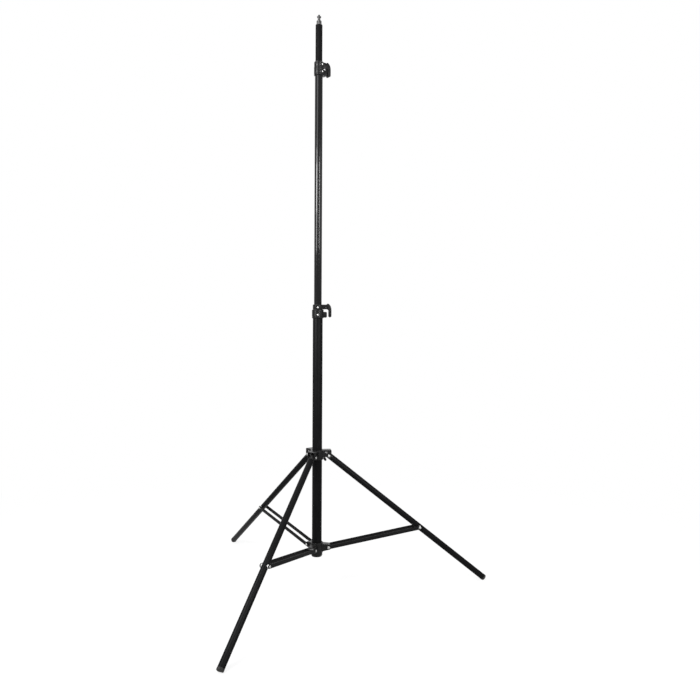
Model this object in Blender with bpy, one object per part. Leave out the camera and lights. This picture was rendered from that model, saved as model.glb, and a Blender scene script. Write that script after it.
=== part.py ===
"""Studio stand: a telescopic three-section column on three folding, braced legs.

Units are metres and +Z is up. The origin is the centre of the column's base face, so the floor lies
below it, and the right-hand leg points along +X. The model is in the spread position, with the middle
section fully out and the top section raised a little.
"""

import math

import bmesh
import bpy
from mathutils import Matrix

# Clearances
GAP = 0.0003
LEG_SIDE_PLAY = 0.0004

# Column tubes
LOWER_TUBE_RADIUS = 0.0160
LOWER_TUBE_WALL = 0.0015
LOWER_TUBE_LENGTH = 0.8000
MID_TUBE_RADIUS = 0.0125
MID_TUBE_WALL = 0.0012
MID_TUBE_LENGTH = 0.8225
MID_TUBE_SHOWN = 0.7725
TOP_TUBE_RADIUS = 0.0110
TOP_TUBE_WALL = 0.0011
TOP_TUBE_LENGTH = 0.7900
TOP_TUBE_SHOWN = 0.1335

# Guide bushes at the lower ends of the sliding tubes
BUSH_FLANGE_HEIGHT = 0.0100
BUSH_INSERT_HEIGHT = 0.0200
BUSH_WALL = 0.0030

# Top cap and spigot
TOP_CAP_HEIGHT = 0.0025
TOP_CAP_INSERT_HEIGHT = 0.0180
TOP_CAP_EDGE = 0.0006
SPIGOT_RADIUS = 0.0080
SPIGOT_BASE_HEIGHT = 0.0110
SPIGOT_NECK_RADIUS = 0.0045
SPIGOT_NECK_HEIGHT = 0.0085
SPIGOT_HEAD_HEIGHT = 0.0060
SPIGOT_STUD_RADIUS = 0.0032
SPIGOT_STUD_HEIGHT = 0.0045
SPIGOT_CHAMFER = 0.0007
SPIGOT_SHANK_RADIUS = 0.0050
SPIGOT_SHANK_LENGTH = 0.0250

# Base cap under the column
BASE_CAP_RADIUS = 0.0185
BASE_CAP_HEIGHT = 0.0120
BASE_CAP_FLOOR = 0.0030
BASE_CAP_STEP = 0.0020
BASE_CAP_PLUG_HEIGHT = 0.0120

# Leg linkage, measured in the plane of each leg
LEG_HEADINGS = {"right": 0.0, "rear_left": 120.0, "front_left": 240.0}
LEG_ANGLE = math.radians(51.0)
BRACE_RISE = math.radians(10.0)
PIVOT_RADIUS = 0.0380
LOWER_PIVOT_HEIGHT = 0.0300
BRACE_DISTANCE = 0.3940

# Legs
LEG_RADIUS = 0.0100
LEG_WALL = 0.0012
LEG_REACH = 0.6890
KNUCKLE_LENGTH = 0.0120
PLUG_LENGTH = 0.0250
FOOT_RADIUS = 0.0104
FOOT_SHOWN = 0.0070
FOOT_EDGE = 0.0020
FOOT_CORNER = 0.0006
SOLE_DEPTH = 0.0030

# Braces: two flat bars beside each leg
BRACE_HEIGHT = 0.0120
BRACE_THICKNESS = 0.0030
BRACE_HALF_SPACING = 0.0120
PIN_SHOULDER_RADIUS = 0.0058

# Rivets
RIVET_RADIUS = 0.0025
RIVET_HEAD_RADIUS = 0.0042
RIVET_HEAD_HEIGHT = 0.0016
RIVET_HEAD_FLAT = 0.0026

# Upper collar, which slides on the lower tube and carries the legs
SLIDE_PLAY = 0.00035
COLLAR_WALL = 0.0042
COLLAR_BELOW = 0.0120
COLLAR_ABOVE = 0.0195
CHEEK_THICKNESS = 0.0030
CHEEK_NOSE_RADIUS = 0.0080
ROOF_THICKNESS = 0.0030
ROOF_CORNER = 0.0030
ARM_EDGE = 0.0008
ARM_ROOT = 0.0100
WINDOW_START = 0.0270
WINDOW_LENGTH = 0.0130
WINDOW_LOW = 0.0065
WINDOW_TOP = 0.0130

# Lower collar, fixed near the foot of the lower tube
LOWER_COLLAR_WALL = 0.0040
LOWER_COLLAR_TOP = 0.0460
LOWER_ARM_NOSE_RADIUS = 0.0090
LOWER_ARM_ROOT_TOP = 0.0430
LOWER_ARM_ROOT_BOTTOM = 0.0150
SCREW_HEADING = math.radians(60.0)
SET_SCREW_RADIUS = 0.0025
SET_SCREW_HEAD_RADIUS = 0.0040
SET_SCREW_HEAD_HEIGHT = 0.0020
SET_SCREW_HEIGHT = 0.0300

# Wing screw that locks the upper collar
WING_HEIGHT = -0.0040
WING_TURN = math.radians(28.0)
BOSS_RADIUS = 0.0072
BOSS_REACH = 0.0300
STUD_RADIUS = 0.0030
KNOB_START = 0.0320
KNOB_HUB_RADIUS = 0.0068
KNOB_HUB_LENGTH = 0.0140
KNOB_STUD_DEPTH = 0.0100
WING_SPAN = 0.0210
WING_THICKNESS = 0.0060
WING_LEAN = 0.0070
WING_TIP_RADIUS = 0.0042
WING_ROOT_HALF = 0.0060

# Lever locks at the tops of the lower and middle tubes; the upper lock is the smaller one
LOCK_HEADINGS = {"lower_lock": math.radians(-5.0), "upper_lock": math.radians(28.0)}
LOCK_SCALES = {"lower_lock": 1.0, "upper_lock": 0.96}
LOCK_HEIGHT = 0.0445
LOCK_SEAT = 0.0014
LOCK_BAND = 0.0067
LOCK_LOWER_WALL = 0.0030
LOCK_UPPER_WALL = 0.0040
LOCK_GROOVE = 0.0010
LOCK_EDGE = 0.0015
LEVER_PIN_OFFSET = 0.0100
LEVER_PIN_HEIGHT = 0.0145
LEVER_PIN_RADIUS = 0.0020
LEVER_BOSS_RADIUS = 0.0070
LEVER_ROOT_WIDTH = 0.0120
LEVER_WIDTH = 0.0140
LEVER_WIDE_START = 0.0085
LEVER_RISE = 0.0110
LEVER_BEND_RADIUS = 0.0110
LEVER_THICKNESS = 0.0105
LEVER_UNDERSIDE = -0.0080
LEVER_TAIL_DROP = 0.0335
LEVER_TAIL_REACH = 0.0202
LEVER_EDGE = 0.0010
EAR_THICKNESS = 0.0028
EAR_RADIUS = 0.0076
LUG_WIDTH = 0.0160
LUG_REACH = 0.0070
LUG_TOP = -0.0013
LUG_BOTTOM = -0.0200
LUG_CORNER = 0.0040
SHOE_HEIGHT = 0.0120
LOCK_SCREW_TURNS = {"lower_lock": math.radians(-90.0), "upper_lock": math.radians(-75.0)}
LOCK_SCREW_RADIUS = 0.0016
LOCK_SCREW_HEAD_RADIUS = 0.0029
LOCK_SCREW_HEAD_HEIGHT = 0.0018
LOCK_SCREW_HEIGHTS = (0.0125, -0.0115)

# Faces around the round pieces
TUBE_SIDES = 32
LEG_SIDES = 20
HOLE_SIDES = 12
ARC_STEPS = 4
SMOOTH_ANGLE = math.radians(35.0)

# Sizes worked out from those above
BRACE_LENGTH = BRACE_DISTANCE * math.sin(LEG_ANGLE) / math.cos(BRACE_RISE)
BRACE_END_HEIGHT = LOWER_PIVOT_HEIGHT + BRACE_LENGTH * math.sin(BRACE_RISE)
HINGE_HEIGHT = BRACE_END_HEIGHT + BRACE_DISTANCE * math.cos(LEG_ANGLE)
LOWER_TUBE_BOTTOM = BASE_CAP_FLOOR + GAP
LOWER_TUBE_TOP = LOWER_TUBE_BOTTOM + LOWER_TUBE_LENGTH
MID_TUBE_TOP = LOWER_TUBE_TOP + MID_TUBE_SHOWN
TOP_TUBE_TOP = MID_TUBE_TOP + TOP_TUBE_SHOWN
SPIGOT_SEAT = TOP_TUBE_TOP + TOP_CAP_HEIGHT
LEG_TUBE_START = KNUCKLE_LENGTH + GAP
LEG_TUBE_END = LEG_REACH - FOOT_SHOWN - GAP
LEG_BORE = LEG_RADIUS - LEG_WALL
CHEEK_INNER = LEG_RADIUS + LEG_SIDE_PLAY
CHEEK_OUTER = CHEEK_INNER + CHEEK_THICKNESS
BRACE_OUTER = BRACE_HALF_SPACING + BRACE_THICKNESS
FOOT_END_HEIGHT = HINGE_HEIGHT - LEG_REACH * math.cos(LEG_ANGLE)
FLOOR = FOOT_END_HEIGHT - FOOT_RADIUS * math.sin(LEG_ANGLE) + SOLE_DEPTH

# Finishes: colour, metallic value and roughness
FINISHES = {
    "black_tube": ((0.020, 0.020, 0.022), 0.6, 0.38),
    "black_plastic": ((0.026, 0.026, 0.028), 0.0, 0.45),
    "zinc": ((0.62, 0.62, 0.62), 1.0, 0.30),
    "spigot_steel": ((0.50, 0.50, 0.50), 1.0, 0.25),
    "black_steel": ((0.030, 0.030, 0.032), 0.8, 0.40),
    "rubber": ((0.030, 0.030, 0.030), 0.0, 0.75),
    "nylon": ((0.60, 0.58, 0.52), 0.0, 0.55),
}


def clear_scene():
    """Remove every object that is in the scene."""
    for old in list(bpy.data.objects):
        bpy.data.objects.remove(old, do_unlink=True)


def finish_material(name):
    """The material of a finish, made on its first use."""
    found = bpy.data.materials.get(name)
    if found:
        return found
    colour, metallic, roughness = FINISHES[name]
    made = bpy.data.materials.new(name)
    made.use_nodes = True
    shader = made.node_tree.nodes["Principled BSDF"]
    shader.inputs["Base Color"].default_value = (*colour, 1.0)
    shader.inputs["Metallic"].default_value = metallic
    shader.inputs["Roughness"].default_value = roughness
    return made


def add_empty(name, location=(0.0, 0.0, 0.0), rotation=(0.0, 0.0, 0.0), parent=None):
    """A frame for pieces that share an axis."""
    frame = bpy.data.objects.new(name, None)
    frame.location = location
    frame.rotation_euler = rotation
    frame.parent = parent
    bpy.context.collection.objects.link(frame)
    return frame


def add_piece(name, shape, finish, parent=None, location=(0.0, 0.0, 0.0), rotation=(0.0, 0.0, 0.0)):
    """A named piece made from a bmesh in its parent's frame."""
    mesh = bpy.data.meshes.new(name)
    shape.to_mesh(mesh)
    shape.free()
    mesh.materials.append(finish_material(finish))
    mesh.shade_smooth()
    mesh.set_sharp_from_angle(angle=SMOOTH_ANGLE)
    piece = bpy.data.objects.new(name, mesh)
    piece.location = location
    piece.rotation_euler = rotation
    piece.parent = parent
    bpy.context.collection.objects.link(piece)
    return piece


def combine(piece, tool_shape, operation):
    """Join a tool to a piece, cut it away or keep what both share, with a live Boolean."""
    tool_name = f"{piece.name}_{operation.lower()}_{len(piece.modifiers)}"
    mesh = bpy.data.meshes.new(tool_name)
    tool_shape.to_mesh(mesh)
    tool_shape.free()
    tool = bpy.data.objects.new(tool_name, mesh)
    tool.parent = piece
    tool.hide_render = True
    tool.display_type = "WIRE"
    bpy.context.collection.objects.link(tool)
    boolean = piece.modifiers.new(operation.title(), "BOOLEAN")
    boolean.operation = operation
    boolean.solver = "EXACT"
    boolean.object = tool


def turned(profile, sides, axis_matrix=None):
    """Turn a profile of (radius, height) points about Z; ends on the axis make a solid."""
    shape = bmesh.new()
    points = [shape.verts.new((radius, 0.0, height)) for radius, height in profile]
    edges = [shape.edges.new(pair) for pair in zip(points, points[1:])]
    if profile[0][0] > 0.0:
        edges.append(shape.edges.new((points[-1], points[0])))
    bmesh.ops.spin(
        shape,
        geom=points + edges,
        cent=(0.0, 0.0, 0.0),
        axis=(0.0, 0.0, 1.0),
        angle=math.tau,
        steps=sides,
        use_merge=True,
        use_duplicate=False,
    )
    bmesh.ops.remove_doubles(shape, verts=shape.verts, dist=1e-6)
    bmesh.ops.recalc_face_normals(shape, faces=shape.faces)
    if axis_matrix is not None:
        shape.transform(axis_matrix)
    return shape


def rod(radius, start, end, sides=HOLE_SIDES, axis_matrix=None):
    """A plain cylinder about Z from one height to another."""
    low, high = sorted((start, end))
    return turned([(0.0, low), (radius, low), (radius, high), (0.0, high)], sides, axis_matrix)


def prism(outline, width, edge=0.0):
    """Extrude an outline of (x, z) points along Y, centred, with an optional chamfer on both faces."""
    shape = bmesh.new()
    base = shape.faces.new([shape.verts.new((x, -width / 2, z)) for x, z in outline])
    pulled = bmesh.ops.extrude_face_region(shape, geom=[base])
    moved = [item for item in pulled["geom"] if isinstance(item, bmesh.types.BMVert)]
    bmesh.ops.translate(shape, verts=moved, vec=(0.0, width, 0.0))
    bmesh.ops.recalc_face_normals(shape, faces=shape.faces)
    if edge > 0.0:
        rims = [e for e in shape.edges if abs(e.verts[0].co.y - e.verts[1].co.y) < 1e-9]
        bmesh.ops.bevel(
            shape,
            geom=rims,
            offset=edge,
            segments=1,
            profile=0.5,
            affect="EDGES",
            clamp_overlap=True,
            material=-1,
        )
    return shape


def box(x_range, y_half, z_range):
    """A box that is centred on the XZ plane."""
    (x_low, x_high), (z_low, z_high) = x_range, z_range
    outline = [(x_low, z_low), (x_high, z_low), (x_high, z_high), (x_low, z_high)]
    return prism(outline, 2 * y_half)


def gather(shapes):
    """Put several shapes that don't meet in one bmesh."""
    together = bmesh.new()
    for shape in shapes:
        mesh = bpy.data.meshes.new("gathered")
        shape.to_mesh(mesh)
        shape.free()
        together.from_mesh(mesh)
        bpy.data.meshes.remove(mesh)
    return together


def around_legs(make_shape):
    """The same shape at each leg's heading."""
    shapes = []
    for heading in LEG_HEADINGS.values():
        shape = make_shape()
        shape.transform(Matrix.Rotation(math.radians(heading), 4, "Z"))
        shapes.append(shape)
    return gather(shapes)


def arc(centre_x, centre_z, radius, start, end, steps=ARC_STEPS):
    """Points along an arc between two angles in degrees."""
    angles = [math.radians(start + (end - start) * k / steps) for k in range(steps + 1)]
    return [(centre_x + radius * math.cos(a), centre_z + radius * math.sin(a)) for a in angles]


def across():
    """Turns the Z axis onto the Y axis, for pins that lie across a leg."""
    return Matrix.Rotation(math.radians(-90.0), 4, "X")


def outward(heading=0.0):
    """Turns the Z axis onto a horizontal heading."""
    return Matrix.Rotation(heading, 4, "Z") @ Matrix.Rotation(math.radians(90.0), 4, "Y")


def tube_profile(radius, wall, bottom, top):
    """The section of a plain tube."""
    return [(radius, top), (radius, bottom), (radius - wall, bottom), (radius - wall, top)]


def rivet_profile(half_grip, shank_radius=RIVET_RADIUS):
    """A rivet with a domed head at each end, centred on its grip."""
    seat = half_grip + GAP
    crown = seat + RIVET_HEAD_HEIGHT
    shoulder = seat + RIVET_HEAD_HEIGHT / 2
    upper = [
        (shank_radius, seat),
        (RIVET_HEAD_RADIUS, seat),
        (RIVET_HEAD_RADIUS, shoulder),
        (RIVET_HEAD_FLAT, crown),
        (0.0, crown),
    ]
    lower = [(radius, -height) for radius, height in reversed(upper)]
    return lower + upper


def build_column():
    """The three tubes, their guide bushes, the caps and the spigot."""
    lower_section = tube_profile(LOWER_TUBE_RADIUS, LOWER_TUBE_WALL, LOWER_TUBE_BOTTOM, LOWER_TUBE_TOP)
    lower_tube = add_piece("lower_tube", turned(lower_section, TUBE_SIDES), "black_tube")
    screw_reach = LOWER_TUBE_RADIUS * 2
    set_screw_hole = rod(SET_SCREW_RADIUS + GAP, 0.0, screw_reach, HOLE_SIDES, outward(SCREW_HEADING))
    set_screw_hole.transform(Matrix.Translation((0.0, 0.0, SET_SCREW_HEIGHT)))
    combine(lower_tube, gather([set_screw_hole, lock_screw_hole("lower_lock", LOWER_TUBE_TOP)]), "DIFFERENCE")
    mid_tube_bottom = MID_TUBE_TOP - MID_TUBE_LENGTH
    mid_section = tube_profile(MID_TUBE_RADIUS, MID_TUBE_WALL, mid_tube_bottom, MID_TUBE_TOP)
    mid_tube = add_piece("mid_tube", turned(mid_section, TUBE_SIDES), "black_tube")
    combine(mid_tube, lock_screw_hole("upper_lock", MID_TUBE_TOP), "DIFFERENCE")
    top_tube_bottom = TOP_TUBE_TOP - TOP_TUBE_LENGTH
    top_section = tube_profile(TOP_TUBE_RADIUS, TOP_TUBE_WALL, top_tube_bottom, TOP_TUBE_TOP)
    add_piece("top_tube", turned(top_section, TUBE_SIDES), "black_tube")
    lower_bore = LOWER_TUBE_RADIUS - LOWER_TUBE_WALL
    mid_bore = MID_TUBE_RADIUS - MID_TUBE_WALL
    top_bore = TOP_TUBE_RADIUS - TOP_TUBE_WALL
    add_bush("mid_bush", mid_bore, lower_bore, mid_tube_bottom)
    add_bush("top_bush", top_bore, mid_bore, top_tube_bottom)
    build_base_cap()
    build_top_cap()
    build_spigot()


def add_bush(name, tube_bore, guide_bore, tube_bottom):
    """A guide bush pushed into the lower end of a sliding tube, running in the tube outside it."""
    insert = tube_bore - GAP
    flange = guide_bore - GAP
    bore = insert - BUSH_WALL
    seat = tube_bottom - GAP
    profile = [
        (insert, tube_bottom + BUSH_INSERT_HEIGHT),
        (insert, seat),
        (flange, seat),
        (flange, seat - BUSH_FLANGE_HEIGHT),
        (bore, seat - BUSH_FLANGE_HEIGHT),
        (bore, tube_bottom + BUSH_INSERT_HEIGHT),
    ]
    add_piece(name, turned(profile, TUBE_SIDES), "nylon")


def build_base_cap():
    """The moulded cap under the lower tube, with a plug that goes up inside it."""
    plug = LOWER_TUBE_RADIUS - LOWER_TUBE_WALL - GAP
    profile = [
        (0.0, BASE_CAP_FLOOR + BASE_CAP_PLUG_HEIGHT),
        (plug, BASE_CAP_FLOOR + BASE_CAP_PLUG_HEIGHT),
        (plug, BASE_CAP_FLOOR),
        (LOWER_TUBE_RADIUS + GAP, BASE_CAP_FLOOR),
        (LOWER_TUBE_RADIUS + GAP, BASE_CAP_HEIGHT),
        (BASE_CAP_RADIUS, BASE_CAP_HEIGHT),
        (BASE_CAP_RADIUS, BASE_CAP_STEP * 2),
        (BASE_CAP_RADIUS - BASE_CAP_STEP / 2, BASE_CAP_STEP),
        (BASE_CAP_RADIUS - BASE_CAP_STEP, BASE_CAP_STEP),
        (BASE_CAP_RADIUS - BASE_CAP_STEP, 0.0),
        (0.0, 0.0),
    ]
    add_piece("base_cap", turned(profile, TUBE_SIDES), "black_plastic")


def build_top_cap():
    """The plastic cap in the top tube, bored for the spigot's shank."""
    insert = TOP_TUBE_RADIUS - TOP_TUBE_WALL - GAP
    bore = SPIGOT_SHANK_RADIUS + GAP
    profile = [
        (bore, SPIGOT_SEAT),
        (TOP_TUBE_RADIUS - TOP_CAP_EDGE, SPIGOT_SEAT),
        (TOP_TUBE_RADIUS, SPIGOT_SEAT - TOP_CAP_EDGE),
        (TOP_TUBE_RADIUS, TOP_TUBE_TOP + GAP),
        (insert, TOP_TUBE_TOP + GAP),
        (insert, TOP_TUBE_TOP - TOP_CAP_INSERT_HEIGHT),
        (bore, TOP_TUBE_TOP - TOP_CAP_INSERT_HEIGHT),
    ]
    add_piece("top_cap", turned(profile, TUBE_SIDES), "black_plastic")


def build_spigot():
    """The grooved spigot with its threaded stud, and the shank that holds it in the top cap."""
    base = SPIGOT_SEAT + GAP
    groove = base + SPIGOT_BASE_HEIGHT
    head = groove + SPIGOT_NECK_HEIGHT
    shoulder = head + SPIGOT_HEAD_HEIGHT
    tip = shoulder + SPIGOT_STUD_HEIGHT
    profile = [
        (0.0, tip),
        (SPIGOT_STUD_RADIUS - SPIGOT_CHAMFER, tip),
        (SPIGOT_STUD_RADIUS, tip - SPIGOT_CHAMFER),
        (SPIGOT_STUD_RADIUS, shoulder),
        (SPIGOT_RADIUS - SPIGOT_CHAMFER, shoulder),
        (SPIGOT_RADIUS, shoulder - SPIGOT_CHAMFER),
        (SPIGOT_RADIUS, head + SPIGOT_CHAMFER),
        (SPIGOT_NECK_RADIUS, head - SPIGOT_CHAMFER),
        (SPIGOT_NECK_RADIUS, groove + SPIGOT_CHAMFER),
        (SPIGOT_RADIUS, groove - SPIGOT_CHAMFER),
        (SPIGOT_RADIUS, base),
        (SPIGOT_SHANK_RADIUS, base),
        (SPIGOT_SHANK_RADIUS, base - SPIGOT_SHANK_LENGTH),
        (0.0, base - SPIGOT_SHANK_LENGTH),
    ]
    add_piece("spigot", turned(profile, LEG_SIDES), "spigot_steel")


def lower_arm_outline():
    """The side view of one arm of the lower collar, round about its brace pivot."""
    nose = arc(PIVOT_RADIUS, LOWER_PIVOT_HEIGHT, LOWER_ARM_NOSE_RADIUS, -90.0, 90.0, ARC_STEPS * 2)
    return [(ARM_ROOT, LOWER_ARM_ROOT_BOTTOM), *nose, (ARM_ROOT, LOWER_ARM_ROOT_TOP)]


def build_lower_collar():
    """The fixed collar whose arms carry the braces, with its rivets and its set screw."""
    bottom = BASE_CAP_HEIGHT + GAP
    bore = LOWER_TUBE_RADIUS + GAP
    outside = LOWER_TUBE_RADIUS + LOWER_COLLAR_WALL
    profile = [
        (outside - ARM_EDGE, LOWER_COLLAR_TOP),
        (outside, LOWER_COLLAR_TOP - ARM_EDGE),
        (outside, bottom + ARM_EDGE),
        (outside - ARM_EDGE, bottom),
        (bore, bottom),
        (bore, LOWER_COLLAR_TOP),
    ]
    collar = add_piece("lower_collar", turned(profile, TUBE_SIDES), "black_plastic")
    arm_width = 2 * (BRACE_HALF_SPACING - GAP)
    combine(collar, around_legs(lambda: prism(lower_arm_outline(), arm_width, ARM_EDGE)), "UNION")
    combine(collar, rod(bore, 0.0, LOWER_COLLAR_TOP * 2, TUBE_SIDES), "DIFFERENCE")

    def pivot_hole():
        hole = rod(RIVET_RADIUS + GAP, -BRACE_OUTER, BRACE_OUTER, HOLE_SIDES, across())
        hole.transform(Matrix.Translation((PIVOT_RADIUS, 0.0, LOWER_PIVOT_HEIGHT)))
        return hole

    screw_hole = rod(SET_SCREW_RADIUS + GAP, 0.0, outside * 2, HOLE_SIDES, outward(SCREW_HEADING))
    screw_hole.transform(Matrix.Translation((0.0, 0.0, SET_SCREW_HEIGHT)))
    combine(collar, gather([around_legs(pivot_hole), screw_hole]), "DIFFERENCE")
    head = outside + GAP
    screw_profile = [
        (0.0, LOWER_TUBE_RADIUS - LOWER_TUBE_WALL),
        (SET_SCREW_RADIUS, LOWER_TUBE_RADIUS - LOWER_TUBE_WALL),
        (SET_SCREW_RADIUS, head),
        (SET_SCREW_HEAD_RADIUS, head),
        (SET_SCREW_HEAD_RADIUS, head + SET_SCREW_HEAD_HEIGHT / 2),
        (SET_SCREW_RADIUS, head + SET_SCREW_HEAD_HEIGHT),
        (0.0, head + SET_SCREW_HEAD_HEIGHT),
    ]
    screw_frame = add_empty("set_screw_axis", (0.0, 0.0, SET_SCREW_HEIGHT), (0.0, 0.0, SCREW_HEADING))
    add_piece("lower_collar_screw", turned(screw_profile, HOLE_SIDES, outward()), "zinc", screw_frame)


def upper_arm_outline():
    """The side view of one arm of the upper collar: a roof over cheeks that are round at the hinge."""
    front = PIVOT_RADIUS + CHEEK_NOSE_RADIUS
    nose = arc(PIVOT_RADIUS, 0.0, CHEEK_NOSE_RADIUS, -90.0, 0.0)
    corner = arc(front - ROOF_CORNER, COLLAR_ABOVE - ROOF_CORNER, ROOF_CORNER, 0.0, 90.0, ARC_STEPS // 2)
    return [(ARM_ROOT, -CHEEK_NOSE_RADIUS), *nose, *corner, (ARM_ROOT, COLLAR_ABOVE)]


def build_upper_collar():
    """The sliding collar: a sleeve, three boxed arms that hold the legs and the wing screw's boss."""
    bore = LOWER_TUBE_RADIUS + SLIDE_PLAY
    outside = bore + COLLAR_WALL
    profile = [
        (outside - ARM_EDGE, COLLAR_ABOVE),
        (outside, COLLAR_ABOVE - ARM_EDGE),
        (outside, -COLLAR_BELOW + ARM_EDGE),
        (outside - ARM_EDGE, -COLLAR_BELOW),
        (bore, -COLLAR_BELOW),
        (bore, COLLAR_ABOVE),
    ]
    collar = add_piece(
        "upper_collar", turned(profile, TUBE_SIDES), "black_plastic", location=(0.0, 0.0, HINGE_HEIGHT)
    )
    combine(collar, around_legs(lambda: prism(upper_arm_outline(), 2 * CHEEK_OUTER, ARM_EDGE)), "UNION")
    boss = rod(BOSS_RADIUS, ARM_ROOT, BOSS_REACH, LEG_SIDES, outward(SCREW_HEADING))
    boss.transform(Matrix.Translation((0.0, 0.0, WING_HEIGHT)))
    combine(collar, boss, "UNION")
    combine(collar, rod(bore, -COLLAR_ABOVE * 2, COLLAR_ABOVE * 2, TUBE_SIDES), "DIFFERENCE")
    front = PIVOT_RADIUS + CHEEK_NOSE_RADIUS * 2
    channel_top = COLLAR_ABOVE - ROOF_THICKNESS
    combine(
        collar,
        around_legs(lambda: box((outside, front), CHEEK_INNER, (-COLLAR_ABOVE, channel_top))),
        "DIFFERENCE",
    )

    def hinge_hole():
        hole = rod(RIVET_RADIUS + GAP, -CHEEK_OUTER * 2, CHEEK_OUTER * 2, HOLE_SIDES, across())
        hole.transform(Matrix.Translation((PIVOT_RADIUS, 0.0, 0.0)))
        return hole

    def window():
        span = (WINDOW_START, WINDOW_START + WINDOW_LENGTH)
        return box(span, CHEEK_OUTER * 2, (WINDOW_LOW, WINDOW_TOP))

    stud_hole = rod(STUD_RADIUS + GAP, 0.0, BOSS_REACH * 2, HOLE_SIDES, outward(SCREW_HEADING))
    stud_hole.transform(Matrix.Translation((0.0, 0.0, WING_HEIGHT)))
    combine(collar, gather([around_legs(hinge_hole), around_legs(window), stud_hole]), "DIFFERENCE")
    build_wing_screw()


def wing_outline():
    """Half of the wing knob in side view: a lobe that leans away from the boss."""
    root = KNOB_START + KNOB_HUB_LENGTH / 2
    tip_x = root + WING_LEAN
    tip_z = WING_SPAN - WING_TIP_RADIUS
    tip = arc(tip_x, tip_z, WING_TIP_RADIUS, 0.0, 180.0, ARC_STEPS + 1)
    return [(root - WING_ROOT_HALF, 0.0), (root + WING_ROOT_HALF, 0.0), *tip]


def build_wing_screw():
    """The wing screw: a threaded stud that bears on the lower tube and a moulded knob."""
    centre = (0.0, 0.0, HINGE_HEIGHT + WING_HEIGHT)
    axis = add_empty("wing_axis", centre, (-WING_TURN, 0.0, SCREW_HEADING))
    stud = rod(STUD_RADIUS, LOWER_TUBE_RADIUS + GAP, KNOB_START + KNOB_STUD_DEPTH, HOLE_SIDES, outward())
    add_piece("wing_stud", stud, "zinc", axis)
    bore = STUD_RADIUS + GAP
    blind = KNOB_START + KNOB_STUD_DEPTH + GAP
    hub_end = KNOB_START + KNOB_HUB_LENGTH
    hub_profile = [
        (bore, KNOB_START),
        (KNOB_HUB_RADIUS, KNOB_START),
        (KNOB_HUB_RADIUS, hub_end - ARM_EDGE),
        (KNOB_HUB_RADIUS - ARM_EDGE, hub_end),
        (0.0, hub_end),
    ]
    hub_profile = [*reversed(hub_profile), (bore, blind), (0.0, blind)]
    hub = turned(hub_profile, LEG_SIDES, outward())
    knob = add_piece("wing_knob", hub, "black_plastic", axis)
    lobe_up = prism(wing_outline(), WING_THICKNESS, ARM_EDGE)
    combine(knob, lobe_up, "UNION")
    lobe_down = prism(wing_outline(), WING_THICKNESS, ARM_EDGE)
    lobe_down.transform(Matrix.Rotation(math.pi, 4, "X"))
    combine(knob, lobe_down, "UNION")
    combine(knob, rod(bore, 0.0, blind, HOLE_SIDES, outward()), "DIFFERENCE")


def build_leg(side, station):
    """One leg: its knuckle, tube and foot, the hinge rivet, and the shouldered pin for the braces."""
    hinge = add_empty(
        f"leg_hinge_{side}", (PIVOT_RADIUS, 0.0, HINGE_HEIGHT), (0.0, -LEG_ANGLE, 0.0), station
    )
    tube = add_piece(
        f"leg_tube_{side}",
        turned(tube_profile(LEG_RADIUS, LEG_WALL, -LEG_TUBE_END, -LEG_TUBE_START), LEG_SIDES),
        "black_tube",
        hinge,
    )
    brace_hole = rod(RIVET_RADIUS + GAP, -LEG_RADIUS * 2, LEG_RADIUS * 2, HOLE_SIDES, across())
    brace_hole.transform(Matrix.Translation((0.0, 0.0, -BRACE_DISTANCE)))
    combine(tube, brace_hole, "DIFFERENCE")
    build_knuckle(side, hinge)
    build_foot(side, hinge)
    rivet_frame = add_empty(f"hinge_pin_{side}", (PIVOT_RADIUS, 0.0, HINGE_HEIGHT), parent=station)
    hinge_rivet = turned(rivet_profile(CHEEK_OUTER), HOLE_SIDES, across())
    add_piece(f"hinge_rivet_{side}", hinge_rivet, "zinc", rivet_frame)
    brace_frame = add_empty(f"brace_pin_axis_{side}", (0.0, 0.0, -BRACE_DISTANCE), parent=hinge)
    add_piece(f"brace_pin_{side}", turned(brace_pin_profile(), HOLE_SIDES, across()), "zinc", brace_frame)


def build_knuckle(side, hinge):
    """The moulded knuckle in the upper end of a leg, round about the hinge rivet."""
    insert = LEG_BORE - GAP
    profile = [
        (0.0, LEG_RADIUS),
        (LEG_RADIUS, LEG_RADIUS),
        (LEG_RADIUS, -KNUCKLE_LENGTH),
        (insert, -KNUCKLE_LENGTH),
        (insert, -KNUCKLE_LENGTH - PLUG_LENGTH),
        (0.0, -KNUCKLE_LENGTH - PLUG_LENGTH),
    ]
    knuckle = add_piece(f"leg_knuckle_{side}", turned(profile, LEG_SIDES), "black_plastic", hinge)
    far = -KNUCKLE_LENGTH - PLUG_LENGTH * 2
    nose_reach = LEG_RADIUS - GAP / 2
    nose = arc(0.0, 0.0, nose_reach, 0.0, 180.0, ARC_STEPS * 2)
    side_reach = LEG_RADIUS * 2
    keep = [(-side_reach, far), (side_reach, far), (side_reach, 0.0), *nose, (-side_reach, 0.0)]
    combine(knuckle, prism(keep, LEG_RADIUS * 4), "INTERSECT")
    hole = rod(RIVET_RADIUS + GAP, -LEG_RADIUS * 2, LEG_RADIUS * 2, HOLE_SIDES, across())
    combine(knuckle, hole, "DIFFERENCE")


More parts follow.
